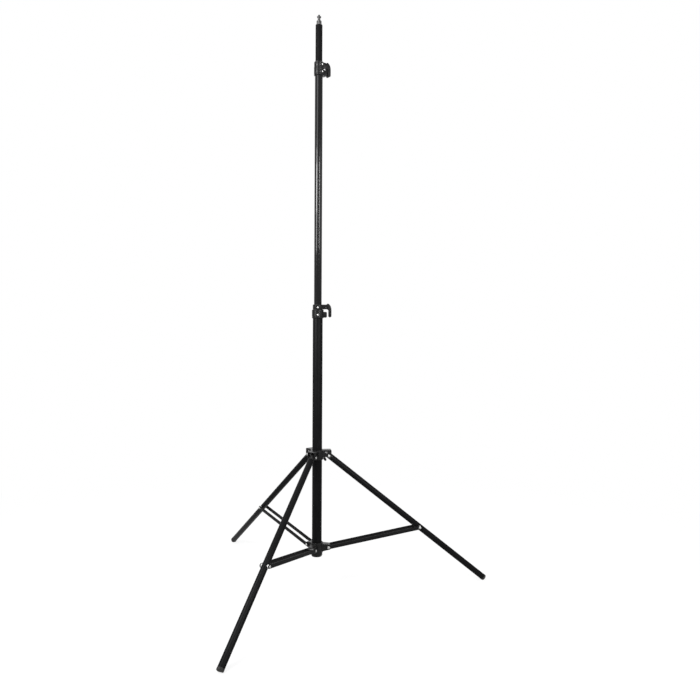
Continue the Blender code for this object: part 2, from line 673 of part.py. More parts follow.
def build_foot(side, hinge):
    """The rubber foot, with a sole cut flat where the spread leg meets the floor."""
    insert = LEG_BORE - GAP
    start = -(LEG_REACH - FOOT_SHOWN)
    profile = [
        (0.0, start + PLUG_LENGTH),
        (insert, start + PLUG_LENGTH),
        (insert, start),
        (FOOT_RADIUS, start),
        (FOOT_RADIUS, -LEG_REACH + FOOT_EDGE),
        (FOOT_RADIUS - FOOT_CORNER, -LEG_REACH + FOOT_CORNER),
        (FOOT_RADIUS - FOOT_EDGE, -LEG_REACH),
        (0.0, -LEG_REACH),
    ]
    shape = turned(profile, LEG_SIDES)
    down = Matrix.Rotation(LEG_ANGLE, 4, "Y") @ Matrix.Translation((0.0, 0.0, FLOOR - HINGE_HEIGHT))
    cut = bmesh.ops.bisect_plane(
        shape,
        geom=shape.verts[:] + shape.edges[:] + shape.faces[:],
        plane_co=down.translation,
        plane_no=down.to_3x3().col[2],
        clear_inner=True,
        dist=1e-7,
    )
    rim = [item for item in cut["geom_cut"] if isinstance(item, bmesh.types.BMEdge)]
    bmesh.ops.holes_fill(shape, edges=rim)
    bmesh.ops.recalc_face_normals(shape, faces=shape.faces)
    add_piece(f"foot_{side}", shape, "rubber", hinge)


def brace_pin_profile():
    """A pin through a leg, with a shoulder on each side that spaces the braces from the leg."""
    end = BRACE_HALF_SPACING - GAP
    shoulder = LEG_RADIUS + GAP
    rim = [(PIN_SHOULDER_RADIUS, shoulder), (PIN_SHOULDER_RADIUS, end)]
    upper = [(RIVET_RADIUS, shoulder), *rim, (0.0, end)]
    lower = [(radius, -height) for radius, height in reversed(upper)]
    return lower + upper


def brace_outline():
    """The side view of a brace bar between its two pivots, with round ends."""
    half = BRACE_HEIGHT / 2
    far_end = arc(BRACE_LENGTH, 0.0, half, -90.0, 90.0, ARC_STEPS * 2)
    near_end = arc(0.0, 0.0, half, 90.0, 270.0, ARC_STEPS * 2)
    return [*far_end, *near_end]


def build_braces(side, station):
    """A pair of brace bars on the lower collar, their pivot rivet and the rivet heads at the leg."""
    pivot = add_empty(
        f"brace_pivot_{side}", (PIVOT_RADIUS, 0.0, LOWER_PIVOT_HEIGHT), (0.0, -BRACE_RISE, 0.0), station
    )
    middle = BRACE_HALF_SPACING + BRACE_THICKNESS / 2
    for label, sign in (("a", -1.0), ("b", 1.0)):
        flat_bar = prism(brace_outline(), BRACE_THICKNESS)
        flat_bar.transform(Matrix.Translation((0.0, sign * middle, 0.0)))
        bar = add_piece(f"brace_{side}_{label}", flat_bar, "black_tube", pivot)
        near_hole = rod(RIVET_RADIUS + GAP, -BRACE_OUTER * 2, BRACE_OUTER * 2, HOLE_SIDES, across())
        far_hole = rod(RIVET_RADIUS + GAP, -BRACE_OUTER * 2, BRACE_OUTER * 2, HOLE_SIDES, across())
        far_hole.transform(Matrix.Translation((BRACE_LENGTH, 0.0, 0.0)))
        combine(bar, gather([near_hole, far_hole]), "DIFFERENCE")
        add_piece(f"brace_rivet_{side}_{label}", brace_head(sign), "zinc", pivot)
    pivot_rivet = turned(rivet_profile(BRACE_OUTER), HOLE_SIDES, across())
    add_piece(f"pivot_rivet_{side}", pivot_rivet, "zinc", pivot)


def brace_head(sign):
    """One end of the rivet that joins a brace to its leg: the head and the shank in the brace."""
    seat = BRACE_OUTER + GAP
    profile = [
        (0.0, BRACE_HALF_SPACING),
        (RIVET_RADIUS, BRACE_HALF_SPACING),
        (RIVET_RADIUS, seat),
        (RIVET_HEAD_RADIUS, seat),
        (RIVET_HEAD_RADIUS, seat + RIVET_HEAD_HEIGHT / 2),
        (RIVET_HEAD_FLAT, seat + RIVET_HEAD_HEIGHT),
        (0.0, seat + RIVET_HEAD_HEIGHT),
    ]
    shape = turned([(radius, sign * height) for radius, height in profile], HOLE_SIDES, across())
    shape.transform(Matrix.Translation((BRACE_LENGTH, 0.0, 0.0)))
    bmesh.ops.recalc_face_normals(shape, faces=shape.faces)
    return shape


def lock_screw_hole(name, tube_top):
    """The hole in a tube for the lower of its lock's two screws."""
    heading = LOCK_HEADINGS[name] + LOCK_SCREW_TURNS[name]
    hole = rod(LOCK_SCREW_RADIUS + GAP, 0.0, LOWER_TUBE_RADIUS * 2, HOLE_SIDES, outward(heading))
    height = tube_top - LOCK_SEAT + LOCK_SCREW_HEIGHTS[1] * LOCK_SCALES[name]
    hole.transform(Matrix.Translation((0.0, 0.0, height)))
    return hole


def build_lock(name, tube_radius, tube_wall, slide_radius, tube_top):
    """A lever lock: a collar on the outer tube whose lever presses a shoe on the sliding tube."""
    scale = LOCK_SCALES[name]
    frame = add_empty(f"{name}_frame", (0.0, 0.0, tube_top - LOCK_SEAT), (0.0, 0.0, LOCK_HEADINGS[name]))
    pin_x = slide_radius + LEVER_PIN_OFFSET * scale
    pin_z = LEVER_PIN_HEIGHT * scale
    root_half = LEVER_ROOT_WIDTH * scale / 2
    upper_radius = slide_radius + LOCK_UPPER_WALL
    lower_radius = tube_radius + LOCK_LOWER_WALL
    build_lock_body(name, frame, tube_radius + GAP, slide_radius + GAP, lower_radius, upper_radius, pin_x)
    build_lever(name, frame, pin_x)
    ear_outer = root_half + GAP + EAR_THICKNESS
    pin_frame = add_empty(f"{name}_pin_axis", (pin_x, 0.0, pin_z), parent=frame)
    pin = rod(LEVER_PIN_RADIUS, -ear_outer, ear_outer, HOLE_SIDES, across())
    add_piece(f"{name}_pin", pin, "black_steel", pin_frame)
    shoe_outer = pin_x - LEVER_BOSS_RADIUS * scale - GAP
    shoe_half = SHOE_HEIGHT * scale / 2
    shoe = add_piece(
        f"{name}_shoe",
        box((slide_radius / 2, shoe_outer), root_half, (pin_z - shoe_half, pin_z + shoe_half)),
        "nylon",
        frame,
    )
    combine(shoe, rod(slide_radius + GAP, -LOCK_HEIGHT, LOCK_HEIGHT, TUBE_SIDES), "DIFFERENCE")
    screw_turn = (0.0, 0.0, LOCK_SCREW_TURNS[name])
    screw_frame = add_empty(f"{name}_screw_frame", rotation=screw_turn, parent=frame)
    upper = lock_screw(slide_radius + 2 * GAP, upper_radius, LOCK_SCREW_HEIGHTS[0] * scale)
    lower = lock_screw(tube_radius - tube_wall, lower_radius, LOCK_SCREW_HEIGHTS[1] * scale)
    add_piece(f"{name}_screw_upper", upper, "zinc", screw_frame)
    add_piece(f"{name}_screw_lower", lower, "zinc", screw_frame)


def lock_screw(start, surface, height):
    """A round-headed screw driven towards the column at a given height on a lock."""
    seat = surface + GAP
    profile = [
        (0.0, start),
        (LOCK_SCREW_RADIUS, start),
        (LOCK_SCREW_RADIUS, seat),
        (LOCK_SCREW_HEAD_RADIUS, seat),
        (LOCK_SCREW_HEAD_RADIUS, seat + LOCK_SCREW_HEAD_HEIGHT / 2),
        (LOCK_SCREW_RADIUS, seat + LOCK_SCREW_HEAD_HEIGHT),
        (0.0, seat + LOCK_SCREW_HEAD_HEIGHT),
    ]
    shape = turned(profile, HOLE_SIDES, outward())
    shape.transform(Matrix.Translation((0.0, 0.0, height)))
    return shape


def build_lock_body(name, frame, lower_bore, upper_bore, lower_radius, upper_radius, pin_x):
    """The lock's collar, with the lever's two ears, the stop lug, and the window for the shoe."""
    scale = LOCK_SCALES[name]
    half = LOCK_HEIGHT * scale / 2
    band = LOCK_BAND * scale
    pin_z = LEVER_PIN_HEIGHT * scale
    root_half = LEVER_ROOT_WIDTH * scale / 2
    profile = [
        (upper_radius - LOCK_EDGE, half),
        (upper_radius, half - LOCK_EDGE),
        (upper_radius, band),
        (upper_radius - LOCK_GROOVE, band),
        (upper_radius - LOCK_GROOVE, band - LOCK_GROOVE),
        (lower_radius - LOCK_EDGE / 2, band - LOCK_GROOVE),
        (lower_radius, band - LOCK_GROOVE - LOCK_EDGE / 2),
        (lower_radius, -half + LOCK_EDGE),
        (lower_radius - LOCK_EDGE, -half),
        (lower_bore, -half),
        (lower_bore, LOCK_SEAT + GAP),
        (upper_bore, LOCK_SEAT + GAP),
        (upper_bore, half),
    ]
    body = add_piece(f"{name}_body", turned(profile, TUBE_SIDES), "black_plastic", frame)
    ear_middle = root_half + GAP + EAR_THICKNESS / 2
    ear_root = wall_reach(upper_bore, LOCK_UPPER_WALL, ear_middle)
    ears = []
    for sign in (-1.0, 1.0):
        ear = prism(ear_outline(ear_root, pin_x, pin_z, EAR_RADIUS * scale), EAR_THICKNESS)
        ear.transform(Matrix.Translation((0.0, sign * ear_middle, 0.0)))
        ears.append(ear)
    combine(body, gather(ears), "UNION")
    lug_width = LUG_WIDTH * scale
    lug_root = wall_reach(lower_bore, LOCK_LOWER_WALL, lug_width / 2)
    combine(body, prism(lug_outline(lug_root, pin_x, scale), lug_width, ARM_EDGE), "UNION")
    combine(body, rod(lower_bore, -LOCK_HEIGHT, LOCK_SEAT + GAP, TUBE_SIDES), "DIFFERENCE")
    window_bottom = pin_z - SHOE_HEIGHT * scale / 2 - GAP
    window = box((0.0, pin_x), root_half + GAP, (window_bottom, LOCK_HEIGHT * scale + GAP))
    combine(body, window, "DIFFERENCE")
    pin_hole = rod(LEVER_PIN_RADIUS + GAP, -LEVER_WIDTH, LEVER_WIDTH, HOLE_SIDES, across())
    pin_hole.transform(Matrix.Translation((pin_x, 0.0, pin_z)))
    holes = [pin_hole]
    driven = outward(LOCK_SCREW_TURNS[name])
    for height in LOCK_SCREW_HEIGHTS:
        hole = rod(LOCK_SCREW_RADIUS + GAP, 0.0, lower_radius * 2, HOLE_SIDES, driven)
        hole.transform(Matrix.Translation((0.0, 0.0, height * scale)))
        holes.append(hole)
    combine(body, gather(holes), "DIFFERENCE")


def wall_reach(bore, wall, offset):
    """How far out the middle of a ring's wall lies at an offset from the plane through its axis."""
    middle = bore + wall / 2
    return math.sqrt(max(middle**2 - offset**2, 0.0))


def ear_outline(root, pin_x, pin_z, radius):
    """The side view of an ear that holds the lever's pin."""
    nose = arc(pin_x, pin_z, radius, -90.0, 90.0, ARC_STEPS * 2)
    return [(root, pin_z - radius), *nose, (root, pin_z + radius)]


def lug_outline(root, pin_x, scale):
    """The side view of the lug below the lever, which the closed lever's tail stands off."""
    front = pin_x + LUG_REACH * scale
    corner = LUG_CORNER * scale
    bottom = LUG_BOTTOM * scale
    top = LUG_TOP * scale
    lower = arc(front - corner, bottom + corner, corner, -90.0, 0.0)
    upper = arc(front - corner, top - corner, corner, 0.0, 90.0)
    return [(root, bottom), *lower, *upper, (root, top)]


def build_lever(name, frame, pin_x):
    """The lever: a thick root between the ears and a wider handle that bends down in front of the lug."""
    scale = LOCK_SCALES[name]
    axis = add_empty(f"{name}_lever_axis", (pin_x, 0.0, LEVER_PIN_HEIGHT * scale), parent=frame)
    overlap = LEVER_WIDE_START + LEVER_EDGE * 2
    boss = arc(0.0, 0.0, LEVER_BOSS_RADIUS, 270.0, 80.0, ARC_STEPS * 2)
    root = [*boss, (overlap, LEVER_RISE - LEVER_EDGE), (overlap, LEVER_UNDERSIDE + LEVER_EDGE)]
    inner_part = prism(resized(root, scale), LEVER_ROOT_WIDTH * scale)
    lever = add_piece(f"{name}_lever", inner_part, "black_plastic", axis)
    handle = prism(resized(handle_outline(), scale), LEVER_WIDTH * scale, LEVER_EDGE)
    combine(lever, handle, "UNION")
    hole = rod(LEVER_PIN_RADIUS + GAP, -LEVER_WIDTH, LEVER_WIDTH, HOLE_SIDES, across())
    combine(lever, hole, "DIFFERENCE")


def handle_outline():
    """The side view of the lever's handle: over the bend, down the tail and back up to the underside."""
    outer = LEVER_TAIL_REACH
    inner = outer - LEVER_THICKNESS
    bend_x = outer - LEVER_BEND_RADIUS
    bend_z = LEVER_RISE - LEVER_BEND_RADIUS
    tail_radius = LEVER_THICKNESS / 2
    over = arc(bend_x, bend_z, LEVER_BEND_RADIUS, 90.0, 0.0, ARC_STEPS + 2)
    tail = arc((inner + outer) / 2, tail_radius - LEVER_TAIL_DROP, tail_radius, 0.0, -180.0, ARC_STEPS + 2)
    underside = [(inner, LEVER_UNDERSIDE), (LEVER_WIDE_START, LEVER_UNDERSIDE)]
    return [(LEVER_WIDE_START, LEVER_RISE), *over, *tail, *underside]


def resized(outline, scale):
    """An outline at another scale."""
    return [(x * scale, z * scale) for x, z in outline]


def main():
    """Build the whole stand."""
    clear_scene()
    build_column()
    build_lower_collar()
    build_upper_collar()
    build_lock("lower_lock", LOWER_TUBE_RADIUS, LOWER_TUBE_WALL, MID_TUBE_RADIUS, LOWER_TUBE_TOP)
    build_lock("upper_lock", MID_TUBE_RADIUS, MID_TUBE_WALL, TOP_TUBE_RADIUS, MID_TUBE_TOP)
    for side, heading in LEG_HEADINGS.items():
        station = add_empty(f"station_{side}", rotation=(0.0, 0.0, math.radians(heading)))
        build_leg(side, station)
        build_braces(side, station)
    travel = LOWER_PIVOT_HEIGHT + BRACE_LENGTH + BRACE_DISTANCE - HINGE_HEIGHT
    print(f"floor {FLOOR:.5f}, hinge {HINGE_HEIGHT:.5f}, brace {BRACE_LENGTH:.5f}, travel {travel:.5f}")


main()
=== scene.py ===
"""Looks for the studio stand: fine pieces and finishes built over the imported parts.

Lengths are metres and +Z is up. The origin is the centre of the column's base face, and the leg
called right points along +X.
"""

import logging
import math
from dataclasses import dataclass
from enum import Enum
from typing import Iterable, Optional, Sequence, Union

import bmesh
import bpy
from mathutils import Matrix, Vector


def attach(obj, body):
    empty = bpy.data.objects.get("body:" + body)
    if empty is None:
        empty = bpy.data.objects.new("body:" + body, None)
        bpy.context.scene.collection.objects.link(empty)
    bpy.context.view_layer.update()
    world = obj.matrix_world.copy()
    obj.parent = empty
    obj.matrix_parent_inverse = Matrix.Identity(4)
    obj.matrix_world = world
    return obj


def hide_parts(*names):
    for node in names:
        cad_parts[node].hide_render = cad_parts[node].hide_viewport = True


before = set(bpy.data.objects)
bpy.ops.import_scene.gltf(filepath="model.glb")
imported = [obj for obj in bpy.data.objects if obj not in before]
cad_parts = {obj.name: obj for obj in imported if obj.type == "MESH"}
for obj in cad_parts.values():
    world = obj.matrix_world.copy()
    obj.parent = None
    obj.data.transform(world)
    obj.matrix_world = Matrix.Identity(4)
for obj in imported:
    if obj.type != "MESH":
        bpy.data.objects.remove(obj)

LOG = logging.getLogger("studio_stand")

# The attribute that holds each piece's own coordinates, for its finish
LOCAL = "local"

# Joins vertices that a turned profile or a boolean leaves at one place
SEAM = 1e-6
WELD = 2e-6

# The turn in degrees over which a shaded edge stays sharp
SHARP_OVER = 32.0

# The sensor's width in millimetres and the frame's width in pixels
SENSOR = 36.0
FRAME = 700.0

# The clearance between pieces that fit together
GAP = 0.0003

# The radii of the column's three tubes
LOWER_RADIUS = 0.0160
MID_RADIUS = 0.0125
TOP_RADIUS = 0.0110

# The walls of the two tubes that carry a lock
LOWER_WALL = 0.0015
MID_WALL = 0.0012

# The heights of the tubes' top ends, and of the floor
TUBE_TOP = 0.8033
MID_TOP = 1.5758
TOP_TOP = 1.7093
FLOOR = -0.10674

# The braces' pivots and the legs' hinges: how far out they are, and how high
PIVOT_RADIUS = 0.0380
PIVOT_HEIGHT = 0.0300
HINGE_HEIGHT = 0.33194

# How far out the solid of a collar's arm or boss starts; the bore is cut through it afterwards
ARM_ROOT = 0.0100

# Angles in degrees: a leg from upright, a brace from level, and the heading of both collars' screws
LEG_ANGLE = 51.0
BRACE_RISE = 10.0
SCREW_HEADING = 60.0

# The radii of the rivets' shanks and of the holes that they pass
RIVET_SHANK = 0.0025
RIVET_HOLE = 0.0028

# How far a lock's middle is below its tube's end
LOCK_DROP = 0.0014

Point = tuple[float, float]
Outline = list[Point]
Colour = tuple[float, float, float]
Place = tuple[float, float, float]


# Shader maths


class Wire:
    """A socket or a number in a material, with arithmetic that adds Math nodes."""

    def __init__(self, graph: "Graph", source: Union[bpy.types.NodeSocket, float]) -> None:
        """Keep a socket or a number.

        Args:
            graph: The material's graph.
            source: An output socket, or a plain number.
        """
        self.graph = graph
        self.source = source

    def _maths(self, operation: str, *others: Union["Wire", float], clamp: bool = False) -> "Wire":
        """Add one Math node.

        Args:
            operation: The Math node's operation.
            others: The values after this one.
            clamp: Whether the result is kept between 0 and 1.

        Returns:
            The node's result.
        """
        settings = {"operation": operation, "use_clamp": clamp}
        return self.graph.add("ShaderNodeMath", settings, dict(enumerate([self, *others])))

    def __add__(self, other: Union["Wire", float]) -> "Wire":
        """Add."""
        return self._maths("ADD", other)

    __radd__ = __add__

    def __mul__(self, other: Union["Wire", float]) -> "Wire":
        """Multiply."""
        return self._maths("MULTIPLY", other)

    __rmul__ = __mul__

    def __sub__(self, other: Union["Wire", float]) -> "Wire":
        """Subtract."""
        return self._maths("SUBTRACT", other)

    def __rsub__(self, other: float) -> "Wire":
        """Subtract from a number."""
        return Wire(self.graph, other)._maths("SUBTRACT", self)

    def between(self, low: float, high: float) -> "Wire":
        """Stretch the range from low to high over 0 to 1, and clamp."""
        return (self - low)._maths("MULTIPLY", 1.0 / (high - low), clamp=True)

    def toward(self, low: float, high: float) -> "Wire":
        """Turn a value of 0 to 1 into one from low to high."""
        return self * (high - low) + low


class Graph:
    """The nodes of one material."""

    def __init__(self, name: str) -> None:
        """Start a material with an empty shader.

        Args:
            name: The material's name.
        """
        self.material = bpy.data.materials.new(name)
        self.material.use_nodes = True
        self.tree = self.material.node_tree
        self.shader = self.tree.nodes["Principled BSDF"]

    @classmethod
    def over(cls, tree: bpy.types.NodeTree) -> "Graph":
        """Wrap a node tree that isn't a material's.

        Args:
            tree: The node tree, such as a world's.

        Returns:
            A graph that adds nodes to it.
        """
        graph = cls.__new__(cls)
        graph.tree = tree
        return graph

    def add(self, kind: str, settings: Optional[dict] = None, inputs: Optional[dict] = None,
            output: Union[int, str] = 0) -> Wire:
        """Add a node of any type.

        Args:
            kind: The node's type.
            settings: The node's attributes, which are set before its sockets.
            inputs: Values or wires for its sockets, by index or name.
            output: The socket that is returned.

        Returns:
            One output of the node.
        """
        node = self.tree.nodes.new(kind)
        for name, value in (settings or {}).items():
            setattr(node, name, value)
        for key, value in (inputs or {}).items():
            self.plug(node.inputs[key], value)
        return Wire(self, node.outputs[output])

    def plug(self, socket: bpy.types.NodeSocket, value: object) -> None:
        """Link a wire to a socket, or set a plain value on it.

        Args:
            socket: The input socket.
            value: A wire, or a plain value.
        """
        if isinstance(value, Wire) and isinstance(value.source, bpy.types.NodeSocket):
            self.tree.links.new(value.source, socket)
        elif isinstance(value, Wire):
            socket.default_value = value.source
        else:
            socket.default_value = value

    def own_coordinates(self) -> Wire:
        """The piece's own coordinates, with its axis along Z."""
        return self.add("ShaderNodeAttribute", {"attribute_name": LOCAL}, output="Vector")

    def stretched(self, vector: Wire, scale: Place) -> Wire:
        """Scale coordinates along each axis."""
        return self.add("ShaderNodeMapping", {}, {"Vector": vector, "Scale": scale})

    def noise(self, vector: Wire, scale: float, detail: float = 3.0, roughness: float = 0.5) -> Wire:
        """Noise of 0 to 1 at a scale."""
        values = {"Vector": vector, "Scale": scale, "Detail": detail, "Roughness": roughness}
        return self.add("ShaderNodeTexNoise", {}, values, "Fac")

    def cells(self, vector: Wire, scale: float) -> Wire:
        """The random value of each cell."""
        values = {"Vector": vector, "Scale": scale}
        return self.add("ShaderNodeTexVoronoi", {"feature": "F1"}, values, "Color")

    def axis(self, vector: Wire, name: str) -> Wire:
        """One coordinate of a vector."""
        return self.add("ShaderNodeSeparateXYZ", {}, {"Vector": vector}, name)

    def blend(self, mask: Wire, low: Union[Colour, Wire], high: Union[Colour, Wire]) -> Wire:
        """Mix two colours by a mask.

        Args:
            mask: The share of the second colour, from 0 to 1.
            low: The first colour.
            high: The second colour.

        Returns:
            The mixed colour.
        """
        low = (*low, 1.0) if isinstance(low, tuple) else low
        high = (*high, 1.0) if isinstance(high, tuple) else high
        return self.add("ShaderNodeMix", {"data_type": "RGBA"}, {0: mask, 6: low, 7: high}, 2)

    def bump(self, height: Wire, depth: float, strength: float, onto: Optional[Wire] = None) -> Wire:
        """Turn a height into a normal.

        Args:
            height: The height, from 0 to 1.
            depth: What a height of 1 stands for, in metres.
            strength: How strongly it shows.
            onto: The normal that it is laid on.

        Returns:
            The new normal.
        """
        inputs: dict = {"Strength": strength, "Distance": depth, "Height": height}
        if onto is not None:
            inputs["Normal"] = onto
        return self.add("ShaderNodeBump", {}, inputs)

    def facing_up(self) -> Wire:
        """How far a surface faces up, from -1 to 1."""
        return self.axis(self.add("ShaderNodeNewGeometry", output="Normal"), "Z")


# Finishes


@dataclass(frozen=True)
class Finish:
    """What all finishes share: a name, a record slot and constants on the shader."""

    name: str
    slot: str
    metallic: float = 0.0
    specular: float = 0.5
    coat: float = 0.0
    coat_roughness: float = 0.1

    def material(self) -> bpy.types.Material:
        """The finish as a material, made on its first use.

        Returns:
            The material.
        """
        found = bpy.data.materials.get(self.name)
        if found:
            return found
        graph = Graph(self.name)
        graph.shader.inputs["Metallic"].default_value = self.metallic
        graph.shader.inputs["Specular IOR Level"].default_value = self.specular
        graph.shader.inputs["Coat Weight"].default_value = self.coat
        graph.shader.inputs["Coat Roughness"].default_value = self.coat_roughness
        self.paint(graph)
        return graph.material

    def paint(self, graph: Graph) -> None:
        """Add the nodes of this finish."""
        raise NotImplementedError


@dataclass(frozen=True)
class SatinTube(Finish):
    """A drawn tube with a black satin skin, and fine scratches along its length."""

    colour: Colour = (0.0035, 0.0035, 0.0038)
    worn: Colour = (0.050, 0.050, 0.053)
    scratched: float = 0.35
    gloss: float = 0.34
    relief: float = 0.5
    grain_depth: float = 0.00004
    scratch_depth: float = 0.00003

    def paint(self, graph: Graph) -> None:
        """Add the drawn grain, the cloudy sheen and the scratches.

        Args:
            graph: The material's graph.
        """
        place = graph.own_coordinates()
        clouds = graph.noise(graph.stretched(place, (1.0, 1.0, 0.25)), 38.0, 4.0, 0.6)
        grain = graph.noise(graph.stretched(place, (1.0, 1.0, 0.012)), 1500.0, 2.0, 0.7)
        speck = graph.noise(place, 900.0, 2.0, 0.5)
        long_marks = graph.noise(graph.stretched(place, (1.0, 1.0, 0.03)), 420.0, 1.0)
        marks = long_marks.between(0.71, 0.78) * graph.noise(place, 16.0, 2.0).between(0.46, 0.62)
        base = graph.blend(clouds.between(0.3, 0.7), self.colour, tuple(1.7 * c for c in self.colour))
        graph.plug(graph.shader.inputs["Base Color"], graph.blend(marks * self.scratched, base, self.worn))
        rough = clouds.toward(self.gloss - 0.07, self.gloss + 0.09) + (grain - 0.5) * 0.10
        graph.plug(graph.shader.inputs["Roughness"], rough)
        fine = graph.bump(speck * 0.6 + grain * 0.4, self.grain_depth, self.relief)
        marked = graph.bump(1.0 - marks, self.scratch_depth, self.relief * 0.5, fine)
        graph.plug(graph.shader.inputs["Normal"], marked)


@dataclass(frozen=True)
class MouldedPlastic(Finish):
    """Black moulded plastic with a fine spark-etched grain, scuffs, and pale patches on upward faces that are
    partly dust and partly painted light from above.
    """

    colour: Colour = (0.0050, 0.0050, 0.0052)
    # Pale colour and its share for dust and scuffs; on upward faces they also paint light falling from above
    dust: Colour = (0.045, 0.044, 0.042)
    dusty: float = 0.35
    scuffed: float = 0.30
    gloss: float = 0.27
    grain_scale: float = 2600.0
    grain_depth: float = 0.00004

    def paint(self, graph: Graph) -> None:
        """Add the moulded grain, its uneven gloss, and pale patches on upward faces that are partly dust and
        partly painted light from above.

        Args:
            graph: The material's graph.
        """
        place = graph.own_coordinates()
        grain = graph.noise(place, self.grain_scale, 2.0, 0.65)
        flow = graph.noise(place, 70.0, 3.0, 0.6)
        scuffs = graph.noise(graph.stretched(place, (1.0, 0.35, 1.0)), 520.0, 3.0, 0.7).between(0.66, 0.78)
        # Paler patches on upward faces: partly settled dust, partly painted light falling from above
        upward = graph.facing_up().between(0.35, 0.95)
        dust_and_top_light = upward * graph.noise(place, 140.0, 4.0, 0.7).between(0.42, 0.68)
        base = graph.blend(flow.between(0.3, 0.7), self.colour, tuple(1.5 * c for c in self.colour))
        # Mixes in the pale colour for the scuffs, the dust and the painted light from above
        dust_scuffs_and_top_light = graph.blend(dust_and_top_light * self.dusty + scuffs * self.scuffed, base, self.dust)
        graph.plug(graph.shader.inputs["Base Color"], dust_scuffs_and_top_light)
        rough = flow.toward(self.gloss - 0.06, self.gloss + 0.08) + dust_and_top_light * 0.10 + scuffs * 0.08
        graph.plug(graph.shader.inputs["Roughness"], rough)
        graph.plug(graph.shader.inputs["Normal"], graph.bump(grain, self.grain_depth, 0.30))


@dataclass(frozen=True)
class PlatedSteel(Finish):
    """Bright zinc on small steel parts, with a faint spangle and tool marks around the axis."""

    colour: Colour = (0.68, 0.68, 0.67)
    dull: Colour = (0.40, 0.40, 0.39)
    spotted: float = 0.5
    gloss: float = 0.28
    line_scale: float = 26000.0
    mark_depth: float = 0.00002

    def paint(self, graph: Graph) -> None:
        """Add the spangle, the turned lines and small dull spots.

        Args:
            graph: The material's graph.
        """
        place = graph.own_coordinates()
        spangle = graph.axis(graph.cells(place, 900.0), "X")
        haze = graph.noise(place, 350.0, 4.0, 0.6)
        across = graph.axis(place, "Z")
        lines = graph.add("ShaderNodeMath", {"operation": "SINE"}, {0: across * self.line_scale})
        spots = graph.noise(place, 1200.0, 2.0, 0.6).between(0.62, 0.74)
        tint = graph.blend(spangle * 0.35 + haze.between(0.35, 0.7) * 0.4, self.colour, self.dull)
        graph.plug(graph.shader.inputs["Base Color"], graph.blend(spots * self.spotted, tint, self.dull))
        rough = haze.toward(self.gloss - 0.08, self.gloss + 0.14) + spots * 0.12
        graph.plug(graph.shader.inputs["Roughness"], rough)
        marks = graph.bump(lines * 0.5 + spangle * 0.5, self.mark_depth, 0.30)
        graph.plug(graph.shader.inputs["Normal"], marks)


@dataclass(frozen=True)
class Rubber(Finish):
    """Matt black rubber, greyed by dust where it is handled and where it meets the floor."""

    colour: Colour = (0.020, 0.020, 0.020)
    dust: Colour = (0.105, 0.100, 0.094)
    dusty: float = 0.35
    pit_depth: float = 0.00012

    def paint(self, graph: Graph) -> None:
        """Add the dusty bloom, pits and the rough skin.

        Args:
            graph: The material's graph.
        """
        place = graph.own_coordinates()
        bloom = graph.noise(place, 90.0, 4.0, 0.65).between(0.42, 0.72)
        pits = graph.noise(place, 1400.0, 3.0, 0.6)
        lowest = (graph.facing_up() * -1.0).between(0.2, 0.9)
        base = graph.blend(bloom * self.dusty + lowest * self.dusty, self.colour, self.dust)
        graph.plug(graph.shader.inputs["Base Color"], base)
        graph.plug(graph.shader.inputs["Roughness"], pits.toward(0.62, 0.86))
        graph.plug(graph.shader.inputs["Normal"], graph.bump(pits, self.pit_depth, 0.5))


@dataclass(frozen=True)
class Nylon(Finish):
    """Natural nylon: creamy, slightly waxy, with rubbed grey patches."""

    colour: Colour = (0.58, 0.55, 0.47)
    rubbed: Colour = (0.24, 0.23, 0.21)
    wax_depth: float = 0.00003

    def paint(self, graph: Graph) -> None:
        """Add the waxy clouds and the rubbed patches.

        Args:
            graph: The material's graph.
        """
        place = graph.own_coordinates()
        clouds = graph.noise(place, 180.0, 3.0, 0.6)
        rubs = graph.noise(graph.stretched(place, (1.0, 1.0, 0.15)), 600.0, 2.0).between(0.55, 0.75)
        base = graph.blend(rubs * 0.5 + clouds * 0.15, self.colour, self.rubbed)
        graph.plug(graph.shader.inputs["Base Color"], base)
        graph.plug(graph.shader.inputs["Roughness"], clouds.toward(0.45, 0.62))
        graph.plug(graph.shader.inputs["Normal"], graph.bump(clouds, self.wax_depth, 0.3))


class Skin(Enum):
    """The finishes of the stand."""

    LOWER_TUBE = SatinTube("lower_tube_black", "black_tube", 0.0, 0.08, gloss=0.42)
    MID_TUBE = SatinTube("mid_tube_black", "black_tube", 0.0, 0.20, 0.60, 0.07, gloss=0.26, relief=0.12)
    TOP_TUBE = SatinTube("top_tube_black", "black_tube", 0.0, 0.10, gloss=0.44)
    LEG_TUBE = SatinTube("leg_tube_black", "black_tube", 0.0, 0.10, gloss=0.42)
    BRACE = SatinTube("brace_black", "black_tube", 0.0, 0.14, colour=(0.0055, 0.0055, 0.0058), gloss=0.45)
    PLASTIC = MouldedPlastic("moulded_black", "black_plastic", 0.0, 0.42)
    LEVER = MouldedPlastic("lever_black", "black_plastic", 0.0, 0.36, gloss=0.32, grain_scale=1900.0)
    ZINC = PlatedSteel("zinc_plate", "zinc", 0.45, colour=(0.78, 0.78, 0.77),
                       dull=(0.55, 0.55, 0.54), gloss=0.42)
    RIVET = PlatedSteel("rivet_plate", "zinc", 0.65, colour=(0.72, 0.72, 0.71),
                        dull=(0.50, 0.50, 0.49), gloss=0.38)
    SPIGOT = PlatedSteel("spigot_plate", "spigot_steel", 0.9, colour=(0.22, 0.22, 0.22),
                         dull=(0.13, 0.13, 0.13), gloss=0.24)
    RUBBER = Rubber("foot_rubber", "rubber", 0.0, 0.30)
    NYLON = Nylon("guide_nylon", "nylon", 0.0, 0.45)
    BLACK_STEEL = PlatedSteel("black_oxide", "black_steel", 1.0, colour=(0.035, 0.035, 0.037),
                              dull=(0.020, 0.020, 0.021), gloss=0.34)


# Shapes


